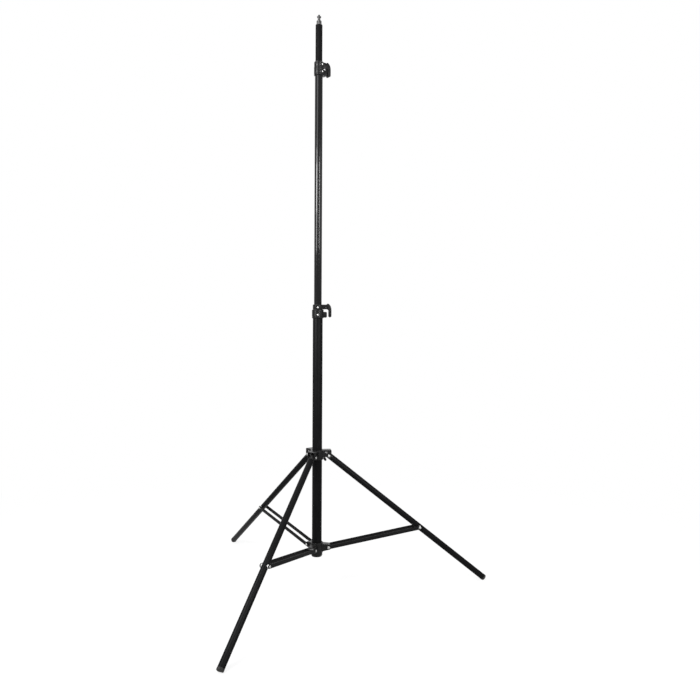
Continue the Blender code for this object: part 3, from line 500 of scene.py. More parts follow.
class Shape:
    """A mesh in the making."""

    def __init__(self, bm: Optional[bmesh.types.BMesh] = None) -> None:
        """Start an empty shape, or wrap a bmesh."""
        self.bm = bm if bm is not None else bmesh.new()

    @classmethod
    def lathe(cls, profile: Outline, sides: int = 64, closed: bool = False) -> "Shape":
        """Turn a profile of (radius, height) points about Z.

        Args:
            profile: The points of the section.
            sides: The faces around the shape.
            closed: Whether the last point joins the first, as for a ring.

        Returns:
            The turned shape.
        """
        bm = bmesh.new()
        points = [bm.verts.new((radius, 0.0, height)) for radius, height in profile]
        edges = [bm.edges.new(pair) for pair in zip(points, points[1:])]
        if closed:
            edges.append(bm.edges.new((points[-1], points[0])))
        bmesh.ops.spin(bm, geom=points + edges, cent=(0.0, 0.0, 0.0), axis=(0.0, 0.0, 1.0), angle=math.tau,
                       steps=sides, use_merge=True, use_duplicate=False)
        bmesh.ops.remove_doubles(bm, verts=bm.verts, dist=SEAM)
        bmesh.ops.recalc_face_normals(bm, faces=bm.faces)
        return cls(bm)

    @classmethod
    def slab(cls, outline: Outline, width: float) -> "Shape":
        """Extrude an outline of (x, z) points along Y, centred.

        Args:
            outline: The points of the side view.
            width: The slab's width along Y.

        Returns:
            The slab.
        """
        bm = bmesh.new()
        base = bm.faces.new([bm.verts.new((x, -width / 2, z)) for x, z in outline])
        pulled = bmesh.ops.extrude_face_region(bm, geom=[base])
        moved = [item for item in pulled["geom"] if isinstance(item, bmesh.types.BMVert)]
        bmesh.ops.translate(bm, verts=moved, vec=(0.0, width, 0.0))
        bmesh.ops.recalc_face_normals(bm, faces=bm.faces)
        return cls(bm)

    @classmethod
    def block(cls, x: Point, y: Point, z: Point) -> "Shape":
        """A box between two values on each axis.

        Args:
            x: Its two ends on X.
            y: Its two ends on Y.
            z: Its two ends on Z.

        Returns:
            The box.
        """
        bm = bmesh.new()
        bmesh.ops.create_cube(bm, size=1.0)
        bmesh.ops.scale(bm, verts=bm.verts, vec=(x[1] - x[0], y[1] - y[0], z[1] - z[0]))
        bmesh.ops.translate(bm, verts=bm.verts, vec=((x[0] + x[1]) / 2, (y[0] + y[1]) / 2, (z[0] + z[1]) / 2))
        return cls(bm)

    @classmethod
    def rod(cls, radius: float, start: float, end: float, sides: int = 32) -> "Shape":
        """A plain cylinder about Z."""
        return cls.lathe([(0.0, start), (radius, start), (radius, end), (0.0, end)], sides)

    def soften(self, width: float, segments: int = 2, over: float = 35.0) -> "Shape":
        """Round the edges that turn by more than an angle.

        Args:
            width: The width of the rounding.
            segments: The faces across it.
            over: The smallest turn, in degrees, that is rounded.

        Returns:
            This shape.
        """
        chosen = [edge for edge in self.bm.edges
                  if len(edge.link_faces) == 2 and edge.calc_face_angle(0.0) > math.radians(over)]
        bmesh.ops.bevel(self.bm, geom=chosen, offset=width, segments=segments, profile=0.5, affect="EDGES",
                        clamp_overlap=True, material=-1)
        return self

    def place(self, matrix: Matrix) -> "Shape":
        """Move the shape by a matrix.

        Args:
            matrix: The move, turn or mirror.

        Returns:
            This shape.
        """
        self.bm.transform(matrix)
        if matrix.determinant() < 0.0:
            bmesh.ops.recalc_face_normals(self.bm, faces=self.bm.faces)
        return self

    def join(self, *others: "Shape") -> "Shape":
        """Take in other shapes as they are.

        Args:
            others: The shapes, which are used up.

        Returns:
            This shape.
        """
        for other in others:
            mesh = other.to_mesh("joined")
            self.bm.from_mesh(mesh)
            bpy.data.meshes.remove(mesh)
        return self

    def to_mesh(self, name: str) -> bpy.types.Mesh:
        """Turn the shape into a mesh and let go of it.

        Args:
            name: The mesh's name.

        Returns:
            The mesh.
        """
        mesh = bpy.data.meshes.new(name)
        self.bm.to_mesh(mesh)
        self.bm.free()
        return mesh

    def merged(self, tools: Sequence["Shape"], operation: str) -> "Shape":
        """Join tools to this shape, or cut them out of it, one after another.

        Args:
            tools: The shapes to use.
            operation: UNION, DIFFERENCE or INTERSECT.

        Returns:
            The resulting shape.
        """
        base = bpy.data.objects.new("base", self.to_mesh("base"))
        bpy.context.collection.objects.link(base)
        used = [base]
        for tool in tools:
            helper = bpy.data.objects.new("tool", tool.to_mesh("tool"))
            bpy.context.collection.objects.link(helper)
            used.append(helper)
            step = base.modifiers.new("step", "BOOLEAN")
            step.operation = operation
            step.solver = "EXACT"
            step.object = helper
        graph = bpy.context.evaluated_depsgraph_get()
        result = bmesh.new()
        result.from_mesh(base.evaluated_get(graph).to_mesh())
        for item in used:
            mesh = item.data
            bpy.data.objects.remove(item, do_unlink=True)
            bpy.data.meshes.remove(mesh)
        bmesh.ops.remove_doubles(result, verts=result.verts, dist=WELD)
        bmesh.ops.dissolve_degenerate(result, edges=result.edges, dist=WELD)
        return Shape(result)

    def plus(self, *tools: "Shape") -> "Shape":
        """Join tools to this shape."""
        return self.merged(tools, "UNION")

    def minus(self, *tools: "Shape") -> "Shape":
        """Cut tools out of this shape."""
        return self.merged(tools, "DIFFERENCE")

    def within(self, tool: "Shape") -> "Shape":
        """Keep what this shape shares with a tool."""
        return self.merged([tool], "INTERSECT")

    def piece(self, name: str, skin: Skin, body: str, replaces: Iterable[str] = (),
              at: Optional[Matrix] = None) -> None:
        """Turn the shape into a finished piece of the stand.

        Args:
            name: The piece's name.
            skin: Its finish.
            body: The body it rides on.
            replaces: The nodes that it stands for.
            at: Where it goes, from its own coordinates.
        """
        mesh = self.to_mesh(name)
        own = mesh.attributes.new(LOCAL, "FLOAT_VECTOR", "POINT")
        flat = [value for vertex in mesh.vertices for value in vertex.co]
        own.data.foreach_set("vector", flat)
        if at is not None:
            mesh.transform(at)
        mesh.shade_smooth()
        mesh.set_sharp_from_angle(angle=math.radians(SHARP_OVER))
        mesh.materials.append(skin.value.material())
        made = bpy.data.objects.new(name, mesh)
        bpy.context.collection.objects.link(made)
        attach(made, body)
        for node in replaces:
            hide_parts(node)
        LOG.info("%s: %d faces on %s", name, len(mesh.polygons), body)


def arc(centre: Point, radius: float, start: float, end: float, steps: int = 12) -> Outline:
    """Points along an arc between two angles in degrees."""
    angles = [math.radians(start + (end - start) * k / steps) for k in range(steps + 1)]
    return [(centre[0] + radius * math.cos(a), centre[1] + radius * math.sin(a)) for a in angles]


def rounded(outline: Outline, radius: float, steps: int = 4) -> Outline:
    """Round every corner of a closed outline by a radius.

    Args:
        outline: The corners, in order.
        radius: How far from a corner its rounding starts.
        steps: The straight pieces of one rounding.

    Returns:
        The rounded outline.
    """
    result: Outline = []
    for index, corner in enumerate(outline):
        here = Vector(corner)
        before = Vector(outline[index - 1]) - here
        after = Vector(outline[(index + 1) % len(outline)]) - here
        reach = min(radius, before.length * 0.45, after.length * 0.45)
        first, last = here + before.normalized() * reach, here + after.normalized() * reach
        for k in range(steps + 1):
            t = k / steps
            point = (1 - t) ** 2 * first + 2 * t * (1 - t) * here + t**2 * last
            result.append((point.x, point.y))
    return result


def shift(x: float = 0.0, y: float = 0.0, z: float = 0.0) -> Matrix:
    """A move."""
    return Matrix.Translation((x, y, z))


def turn(degrees: float, axis: str) -> Matrix:
    """A turn about an axis."""
    return Matrix.Rotation(math.radians(degrees), 4, axis)


def across() -> Matrix:
    """A turn that lays the Z axis onto Y."""
    return turn(-90.0, "X")


def outward(heading: float = 0.0) -> Matrix:
    """A turn that lays the Z axis onto a level heading."""
    return turn(heading, "Z") @ turn(90.0, "Y")


def cross_hole(radius: float, at: Matrix) -> Shape:
    """A cutter for a hole along Y, which is longer than any piece is wide."""
    return Shape.rod(radius, -0.02, 0.02, 24).place(at @ across())


class Leg(Enum):
    """The three legs and their headings in degrees."""

    RIGHT = 0.0
    REAR_LEFT = 120.0
    FRONT_LEFT = 240.0

    @property
    def side(self) -> str:
        """The leg's name in the parts."""
        return self.name.lower()

    def pivot(self, height: float) -> Matrix:
        """The leg's pivot line at a height, with X pointing outwards."""
        return turn(self.value, "Z") @ shift(PIVOT_RADIUS, 0.0, height)


def rivet_head(radius: float = 0.0042, height: float = 0.0016) -> Shape:
    """A domed rivet head with a small dimple, seated at Z = 0.

    Args:
        radius: The head's radius.
        height: The head's height.

    Returns:
        The head.
    """
    crown, rim, steps = height * 0.92, height * 0.25, 9
    profile = [(0.0, 0.0), (radius, 0.0), (radius, rim)]
    for k in range(1, steps):
        a = math.radians(90.0 * k / steps)
        profile.append((radius * math.cos(a), rim + (crown - rim) * math.sin(a)))
    profile += [(radius * 0.16, crown), (radius * 0.12, crown * 0.82), (0.0, crown * 0.80)]
    return Shape.lathe(profile, 32)


def pan_head(radius: float, height: float, shank: float, length: float) -> Shape:
    """A round-headed screw with a cross recess, seated at Z = 0, with its shank below.

    Args:
        radius: The head's radius.
        height: The head's height.
        shank: The shank's radius.
        length: The shank's length.

    Returns:
        The screw.
    """
    rim, dome, steps = height * 0.35, height * 0.65, 8
    profile: Outline = [(0.0, -length), (shank, -length), (shank, 0.0), (radius, 0.0), (radius, rim)]
    for k in range(1, steps):
        a = math.radians(90.0 * k / steps)
        profile.append((radius * math.cos(a), rim + dome * math.sin(a)))
    profile.append((0.0, height))
    head = Shape.lathe(profile, 32)
    long, narrow = radius * 0.58, radius * 0.11
    depth = (height * 0.45, height * 2)
    bars = [Shape.block((-long, long), (-narrow, narrow), depth),
            Shape.block((-narrow, narrow), (-long, long), depth)]
    return head.minus(*bars)


def through_rivet(half_grip: float) -> Shape:
    """A rivet with a head at each end, centred on its grip along Z.

    Args:
        half_grip: Half the width that the rivet holds.

    Returns:
        The rivet.
    """
    seat = half_grip + GAP
    shank = Shape.rod(RIVET_SHANK, -seat, seat, 24)
    return shank.join(rivet_head().place(shift(z=seat)), rivet_head().place(turn(180.0, "X") @ shift(z=seat)))


# Sub-assemblies


@dataclass(frozen=True)
class Tube:
    """One tube of the column."""

    name: str
    body: str
    skin: Skin
    radius: float
    wall: float
    low: float
    high: float

    def build(self) -> None:
        """Build the tube, with its rims just broken."""
        bore = self.radius - self.wall
        section = [(self.radius, self.high), (self.radius, self.low), (bore, self.low), (bore, self.high)]
        tube = Shape.lathe(section, 96, closed=True).soften(self.wall * 0.3, 2)
        tube.piece(f"{self.name}_skin", self.skin, self.body, [self.name])


@dataclass
class Column:
    """The three tubes, the caps at both ends and the spigot."""

    tubes: tuple[Tube, ...] = (
        Tube("lower_tube", "column", Skin.LOWER_TUBE, LOWER_RADIUS, LOWER_WALL, 0.0033, TUBE_TOP),
        Tube("mid_tube", "mid_section", Skin.MID_TUBE, MID_RADIUS, MID_WALL, MID_TOP - 0.8225, MID_TOP),
        Tube("top_tube", "top_section", Skin.TOP_TUBE, TOP_RADIUS, 0.0011, TOP_TOP - 0.790, TOP_TOP),
    )
    cap_top: float = 0.0025
    thread_turns: int = 5

    def build(self) -> None:
        """Build the tubes, caps and spigot."""
        for tube in self.tubes:
            tube.build()
        self.build_base_cap()
        self.build_top_cap()
        self.build_spigot()

    def build_base_cap(self) -> None:
        """The cap at the foot, with its stepped underside, a drain hole and rounded rims."""
        plug, bore, drain = LOWER_RADIUS - 0.0018, LOWER_RADIUS + GAP, 0.0026
        outside, foot, dish = 0.0185, 0.0165, 0.0008
        section = [(drain, 0.015), (plug, 0.015), (plug, 0.003), (bore, 0.003), (bore, 0.012),
                   (outside, 0.012), (outside, 0.004), (0.0175, 0.0022), (foot, 0.0018), (foot, 0.0),
                   (0.0120, 0.0), (0.0112, dish), (0.0050, dish), (0.0042, 0.0), (drain, 0.0)]
        cap = Shape.lathe(section, 80, closed=True).soften(0.0003, 2)
        cap.piece("base_cap_skin", Skin.PLASTIC, "column", ["base_cap"])

    def build_top_cap(self) -> None:
        """The thin cap over the top tube."""
        insert, bore = 0.0096, 0.0053
        top, seat, end = TOP_TOP + self.cap_top, TOP_TOP + GAP, TOP_TOP - 0.018
        section = [(bore, top), (TOP_RADIUS, top), (TOP_RADIUS, seat), (insert, seat), (insert, end),
                   (bore, end)]
        cap = Shape.lathe(section, 72, closed=True).soften(0.0005, 3)
        cap.piece("top_cap_skin", Skin.PLASTIC, "top_section", ["top_cap"])

    def build_spigot(self) -> None:
        """The spigot: a full foot, a waist, a round head and a threaded stud."""
        base = TOP_TOP + self.cap_top + GAP
        groove, head = base + 0.0145, base + 0.0222
        shoulder, tip = base + 0.0268, base + 0.0315
        peg, foot, waist, crown, stud = 0.0050, 0.0080, 0.0043, 0.0068, 0.0028
        section = [(0.0, base - 0.025), (peg, base - 0.025), (peg, base), (foot, base),
                   (foot, groove - 0.0026), (waist, groove + 0.0012), (waist, head - 0.0004),
                   (crown, head + 0.0016), (crown, shoulder - 0.0010), (crown - 0.0010, shoulder),
                   (stud, shoulder), (stud, tip), (0.0, tip)]
        body = Shape.lathe(section, 80).soften(0.00045, 3, 30.0)
        body.join(self.thread(shoulder + 0.0004, tip - 0.0005))
        body.piece("spigot_skin", Skin.SPIGOT, "top_section", ["spigot"])

    def thread(self, low: float, high: float) -> Shape:
        """The stud's thread: a ridge wound up around it.

        Args:
            low: Where it starts.
            high: Where it ends.

        Returns:
            The wound ridge.
        """
        bm = bmesh.new()
        rise, steps = high - low, self.thread_turns * 24
        root, crest = 0.0026, 0.0032
        half = rise / self.thread_turns / 2 * 0.86
        corners = [bm.verts.new((radius, 0.0, low + half * share))
                   for radius, share in ((root, 0.0), (crest, 0.8), (crest, 1.0), (root, 1.8))]
        ridge = bm.faces.new(corners)
        climb = (rise - half * 1.8) / steps
        bmesh.ops.spin(bm, geom=[ridge, *corners, *ridge.edges[:]], cent=(0.0, 0.0, 0.0),
                       axis=(0.0, 0.0, 1.0), dvec=(0.0, 0.0, climb), angle=math.tau * self.thread_turns,
                       steps=steps, use_merge=False, use_duplicate=False)
        bmesh.ops.recalc_face_normals(bm, faces=bm.faces)
        return Shape(bm)


@dataclass
class LowerCollar:
    """The fixed collar at the foot, whose three arms carry the braces."""

    outside: float = 0.0200
    bottom: float = 0.0123
    top: float = 0.0460
    arm_half: float = 0.0117
    arm_root: Point = (0.0150, 0.0430)
    nose: float = 0.0090
    edge: float = 0.0008
    rivet_grip: float = 0.0150
    screw_hole: float = 0.0028

    def arm(self, heading: float) -> Shape:
        """One arm at a heading.

        Args:
            heading: The leg's heading in degrees.

        Returns:
            The arm's solid.
        """
        low, high = self.arm_root
        nose = arc((PIVOT_RADIUS, PIVOT_HEIGHT), self.nose, -90.0, 90.0, 20)
        arm = Shape.slab([(ARM_ROOT, low), *nose, (ARM_ROOT, high)], 2 * self.arm_half)
        return arm.soften(self.edge, 3, 60.0).place(turn(heading, "Z"))

    def relief(self, heading: float, sign: float) -> Shape:
        """The shallow pocket in one side of an arm.

        Args:
            heading: The arm's heading in degrees.
            sign: The arm's side: -1 or 1 along its own Y.

        Returns:
            The pocket's cutter.
        """
        corners = [(0.0222, 0.0185), (0.0290, 0.0262), (0.0290, 0.0338), (0.0222, 0.0400)]
        pocket = Shape.slab(rounded(corners, 0.0015), 0.0012)
        return pocket.place(turn(heading, "Z") @ shift(y=sign * self.arm_half))

    def build(self) -> None:
        """Build the collar, its rivets and its set screw."""
        bore = LOWER_RADIUS + GAP
        ring = [(self.outside, self.top), (self.outside, self.bottom), (bore, self.bottom), (bore, self.top)]
        collar = Shape.lathe(ring, 96, closed=True).soften(self.edge, 3)
        arms = [self.arm(leg.value) for leg in Leg]
        cuts = [Shape.rod(bore, 0.0, self.top * 2, 96)]
        for leg in Leg:
            cuts.append(cross_hole(RIVET_HOLE, leg.pivot(PIVOT_HEIGHT)))
            cuts += [self.relief(leg.value, sign) for sign in (-1.0, 1.0)]
        screw_axis = shift(z=PIVOT_HEIGHT) @ outward(SCREW_HEADING)
        cuts.append(Shape.rod(self.screw_hole, 0.0, self.outside * 2, 24).place(screw_axis))
        collar.plus(*arms).minus(*cuts).piece("lower_collar_skin", Skin.PLASTIC, "column", ["lower_collar"])
        screw = pan_head(radius=0.0040, height=0.0020, shank=0.0025, length=0.0055)
        seat = screw_axis @ shift(z=self.outside + GAP)
        screw.piece("lower_collar_screw_skin", Skin.ZINC, "column", ["lower_collar_screw"], seat)
        for leg in Leg:
            name = f"pivot_rivet_{leg.side}"
            place = leg.pivot(PIVOT_HEIGHT) @ across()
            through_rivet(self.rivet_grip).piece(f"{name}_skin", Skin.RIVET, "column", [name], place)


@dataclass(frozen=True)
class WingScrew:
    """The screw that holds the sliding collar: a stud, and a knob with two leaning lobes."""

    height: float = -0.0040
    turned: float = 28.0
    bore: float = 0.0033
    start: float = 0.0320
    length: float = 0.0140
    skin_over_stud: float = 0.0037
    stud: float = 0.0030
    stud_ends: Point = (0.0163, 0.0420)
    hub: float = 0.0068
    span: float = 0.0240
    lobe_root: float = 0.0082
    lobe_lean: float = 0.0056
    lobe_tip: float = 0.0038
    lobe_width: float = 0.0060

    def lobe(self) -> Shape:
        """One lobe, which leans outwards along the screw.

        Returns:
            The lobe on the screw's own +X side.
        """
        root = self.start + self.length / 2
        tip = arc((root + self.lobe_lean, self.span - self.lobe_tip), self.lobe_tip, 0.0, 180.0, 16)
        outline = [(root - self.lobe_root, 0.0), (root + self.lobe_root, 0.0), *tip]
        return Shape.slab([(z, x) for x, z in outline], self.lobe_width).soften(0.0014, 4, 60.0)

    def build(self) -> None:
        """Build the stud and the knob."""
        axis = turn(SCREW_HEADING, "Z") @ turn(-self.turned, "X") @ turn(90.0, "Y")
        place = shift(z=HINGE_HEIGHT + self.height) @ axis
        stud = Shape.rod(self.stud, *self.stud_ends, 40).soften(0.0004, 2)
        stud.piece("wing_stud_skin", Skin.ZINC, "wing_screw", ["wing_stud"], place)
        start, end = self.start, self.start + self.length
        seat = end - self.skin_over_stud
        section = [(0.0, seat), (self.bore, seat), (self.bore, start), (self.hub, start), (self.hub, end),
                   (0.0, end)]
        knob = Shape.lathe(section, 48).soften(0.0009, 3)
        knob = knob.plus(self.lobe()).plus(self.lobe().place(turn(180.0, "Z")))
        knob = knob.minus(Shape.rod(self.bore, 0.0, seat, 32))
        knob.piece("wing_knob_skin", Skin.LEVER, "wing_screw", ["wing_knob"], place)


@dataclass
class UpperCollar:
    """The sliding collar: a sleeve, three boxed arms, and a boss that holds the wing screw."""

    bore: float = 0.01635
    outside: float = 0.02055
    below: float = 0.0120
    above: float = 0.0195
    cheek_inner: float = 0.0104
    cheek_outer: float = 0.0134
    nose: float = 0.0080
    web: float = 0.0035
    web_end: float = 0.0290
    crown: float = 0.0034
    edge: float = 0.0008
    roof_inside: float = 0.0165
    boss: float = 0.0072
    boss_face: float = 0.0300
    window: tuple[Point, Point] = ((0.0245, 0.0350), (0.0068, 0.0128))
    wing: WingScrew = WingScrew()

    def arm(self, heading: float) -> Shape:
        """One arm at a heading, before its channel is cut: flat cheeks under a crowned roof.

        Args:
            heading: The leg's heading in degrees.

        Returns:
            The arm's solid.
        """
        half, crown, corner, top = self.cheek_outer, self.crown, 0.0030, self.above
        nose = arc((PIVOT_RADIUS, 0.0), self.nose, -110.0, 0.0, 16)
        shoulder = arc((PIVOT_RADIUS + self.nose - corner, top - corner), corner, 0.0, 90.0, 8)
        outline = [(ARM_ROOT, -self.web), (self.web_end, -self.web), *nose, *shoulder, (ARM_ROOT, top)]
        section = [(-half, -0.02), (half, -0.02), *arc((half - crown, top - crown), crown, 0.0, 90.0, 8),
                   *arc((crown - half, top - crown), crown, 90.0, 180.0, 8)]
        roof = Shape.slab(section, 0.12).place(turn(90.0, "Z"))
        return Shape.slab(outline, 2 * half).soften(self.edge, 3, 60.0).within(roof).place(turn(heading, "Z"))

    def build(self) -> None:
        """Build the collar, the hinge rivets and the wing screw."""
        ring = [(self.outside, self.above), (self.outside, -self.below), (self.bore, -self.below),
                (self.bore, self.above)]
        collar = Shape.lathe(ring, 96, closed=True).soften(self.edge, 3)
        lift = shift(z=self.wing.height) @ outward(SCREW_HEADING)
        boss = Shape.rod(self.boss, ARM_ROOT, self.boss_face, 48).soften(0.0006, 3).place(lift)
        collar = collar.plus(*[self.arm(leg.value) for leg in Leg]).plus(boss)
        cuts = [Shape.rod(self.bore, -0.05, 0.05, 96)]
        along, upright = self.window
        for leg in Leg:
            heading = turn(leg.value, "Z")
            inside = (-self.cheek_inner, self.cheek_inner)
            channel = Shape.block((self.outside, 0.07), inside, (-0.04, self.roof_inside))
            cuts.append(channel.soften(0.0006, 2).place(heading))
            cuts.append(cross_hole(RIVET_HOLE, leg.pivot(0.0)))
            cuts.append(Shape.block(along, (-0.03, 0.03), upright).soften(0.0006, 3).place(heading))
        cuts.append(Shape.rod(self.wing.bore, 0.0, 0.06, 24).place(lift))
        collar = collar.minus(*cuts)
        collar.piece("upper_collar_skin", Skin.PLASTIC, "leg_collar", ["upper_collar"], shift(z=HINGE_HEIGHT))
        for leg in Leg:
            name = f"hinge_rivet_{leg.side}"
            place = leg.pivot(HINGE_HEIGHT) @ across()
            through_rivet(self.cheek_outer).piece(f"{name}_skin", Skin.RIVET, "leg_collar", [name], place)
        self.wing.build()


@dataclass
class LegSet:
    """One leg: knuckle, tube and foot, with the shouldered pin for its braces."""

    leg: Leg
    radius: float = 0.0100
    bore: float = 0.0088
    plug: float = 0.0085
    reach: float = 0.6890
    brace_distance: float = 0.3940
    tube_start: float = 0.0123
    tube_short: float = 0.0073
    knuckle_nose: float = 0.00985
    foot_radius: float = 0.0104
    foot_groove: float = 0.0100

    @property
    def hinge(self) -> Matrix:
        """The leg's place: it runs down its own Z from the hinge."""
        return self.leg.pivot(HINGE_HEIGHT) @ turn(-LEG_ANGLE, "Y")

    def build(self) -> None:
        """Build the leg's pieces."""
        side, body = self.leg.side, f"leg_{self.leg.side}"
        low, high = -(self.reach - self.tube_short), -self.tube_start
        section = [(self.radius, high), (self.radius, low), (self.bore, low), (self.bore, high)]
        tube = Shape.lathe(section, 64, closed=True).soften(0.0004, 2)
        tube.piece(f"leg_tube_{side}_skin", Skin.LEG_TUBE, body, [f"leg_tube_{side}"], self.hinge)
        self.build_knuckle(side, body)
        self.build_foot(side, body)
        self.build_pin(side, body)

    def build_knuckle(self, side: str, body: str) -> None:
        """The round-nosed knuckle in the top of the leg.

        Args:
            side: The leg's name in the parts.
            body: The body it rides on.
        """
        top, seat, end = self.radius, -0.0120, -0.0370
        section = [(0.0, top), (self.radius, top), (self.radius, seat), (self.plug, seat), (self.plug, end),
                   (0.0, end)]
        nose = arc((0.0, 0.0), self.knuckle_nose, 0.0, 180.0, 28)
        outline = [(-0.02, -0.06), (0.02, -0.06), (0.02, 0.0), *nose, (-0.02, 0.0)]
        knuckle = Shape.lathe(section, 64).within(Shape.slab(outline, 0.04))
        knuckle = knuckle.minus(cross_hole(RIVET_HOLE, shift()))
        knuckle.piece(f"leg_knuckle_{side}_skin", Skin.PLASTIC, body, [f"leg_knuckle_{side}"], self.hinge)

    def build_foot(self, side: str, body: str) -> None:
        """The rubber foot, grooved around and cut flat where it stands.

        Args:
            side: The leg's name in the parts.
            body: The body it rides on.
        """
        start, end = -(self.reach - 0.0070), -self.reach
        outside, groove = self.foot_radius, self.foot_groove
        section = [(0.0, start + 0.025), (self.plug, start + 0.025), (self.plug, start), (outside, start),
                   (outside, start - 0.0020), (groove, start - 0.0024), (groove, start - 0.0030),
                   (outside, start - 0.0034), (outside, end + 0.0016), (0.0092, end), (0.0, end)]
        foot = Shape.lathe(section, 64).soften(0.0004, 2, 40.0)
        down = turn(LEG_ANGLE, "Y") @ shift(z=FLOOR - HINGE_HEIGHT)
        bm = foot.bm
        everything = bm.verts[:] + bm.edges[:] + bm.faces[:]
        cut = bmesh.ops.bisect_plane(bm, geom=everything, plane_co=down.translation,
                                     plane_no=down.to_3x3().col[2], clear_inner=True, dist=1e-7)
        rim = [item for item in cut["geom_cut"] if isinstance(item, bmesh.types.BMEdge)]
        bmesh.ops.holes_fill(bm, edges=rim)
        bmesh.ops.recalc_face_normals(bm, faces=bm.faces)
        foot.piece(f"foot_{side}_skin", Skin.RUBBER, body, [f"foot_{side}"], self.hinge)

    def build_pin(self, side: str, body: str) -> None:
        """The pin through the leg, with a shoulder at each side of the tube.

        Args:
            side: The leg's name in the parts.
            body: The body it rides on.
        """
        place = self.hinge @ shift(z=-self.brace_distance) @ across()
        shoulder, inner, outer = 0.0058, 0.0080, 0.0117
        ends = [Shape.rod(shoulder, low, high, 40).soften(0.0004, 2)
                for low, high in ((inner, outer), (-outer, -inner))]
        pin = Shape.rod(RIVET_SHANK, -0.0082, 0.0082, 24).join(*ends)
        pin.piece(f"brace_pin_{side}_skin", Skin.ZINC, body, [f"brace_pin_{side}"], place)


@dataclass
class BracePair:
    """Two flat bars that hold one leg at its spread."""

    leg: Leg
    length: float = 0.31092
    height: float = 0.0120
    thickness: float = 0.0030
    half_spacing: float = 0.0120

    @property
    def pivot(self) -> Matrix:
        """The braces' place: they run along their own X from the pivot."""
        return self.leg.pivot(PIVOT_HEIGHT) @ turn(-BRACE_RISE, "Y")

    def build(self) -> None:
        """Build both bars and their rivet heads."""
        side, body = self.leg.side, f"braces_{self.leg.side}"
        half = self.height / 2
        outline = [*arc((self.length, 0.0), half, -90.0, 90.0, 20), *arc((0.0, 0.0), half, 90.0, 270.0, 20)]
        middle = self.half_spacing + self.thickness / 2
        seat = self.half_spacing + self.thickness + GAP
        for label, sign in (("a", -1.0), ("b", 1.0)):
            bar = Shape.slab(outline, self.thickness).soften(0.0007, 3, 60.0).place(turn(-90.0, "Y"))
            lengthwise = self.pivot @ shift(y=sign * middle) @ turn(90.0, "Y")
            bar.piece(f"brace_{side}_{label}_skin", Skin.BRACE, body, [f"brace_{side}_{label}"], lengthwise)
            shank = Shape.rod(RIVET_SHANK, self.half_spacing, seat, 24)
            rivet = shank.join(rivet_head().place(shift(z=seat)))
            facing = across() if sign > 0 else turn(90.0, "X")
            place, name = self.pivot @ shift(self.length) @ facing, f"brace_rivet_{side}_{label}"
            rivet.piece(f"{name}_skin", Skin.RIVET, body, [name], place)


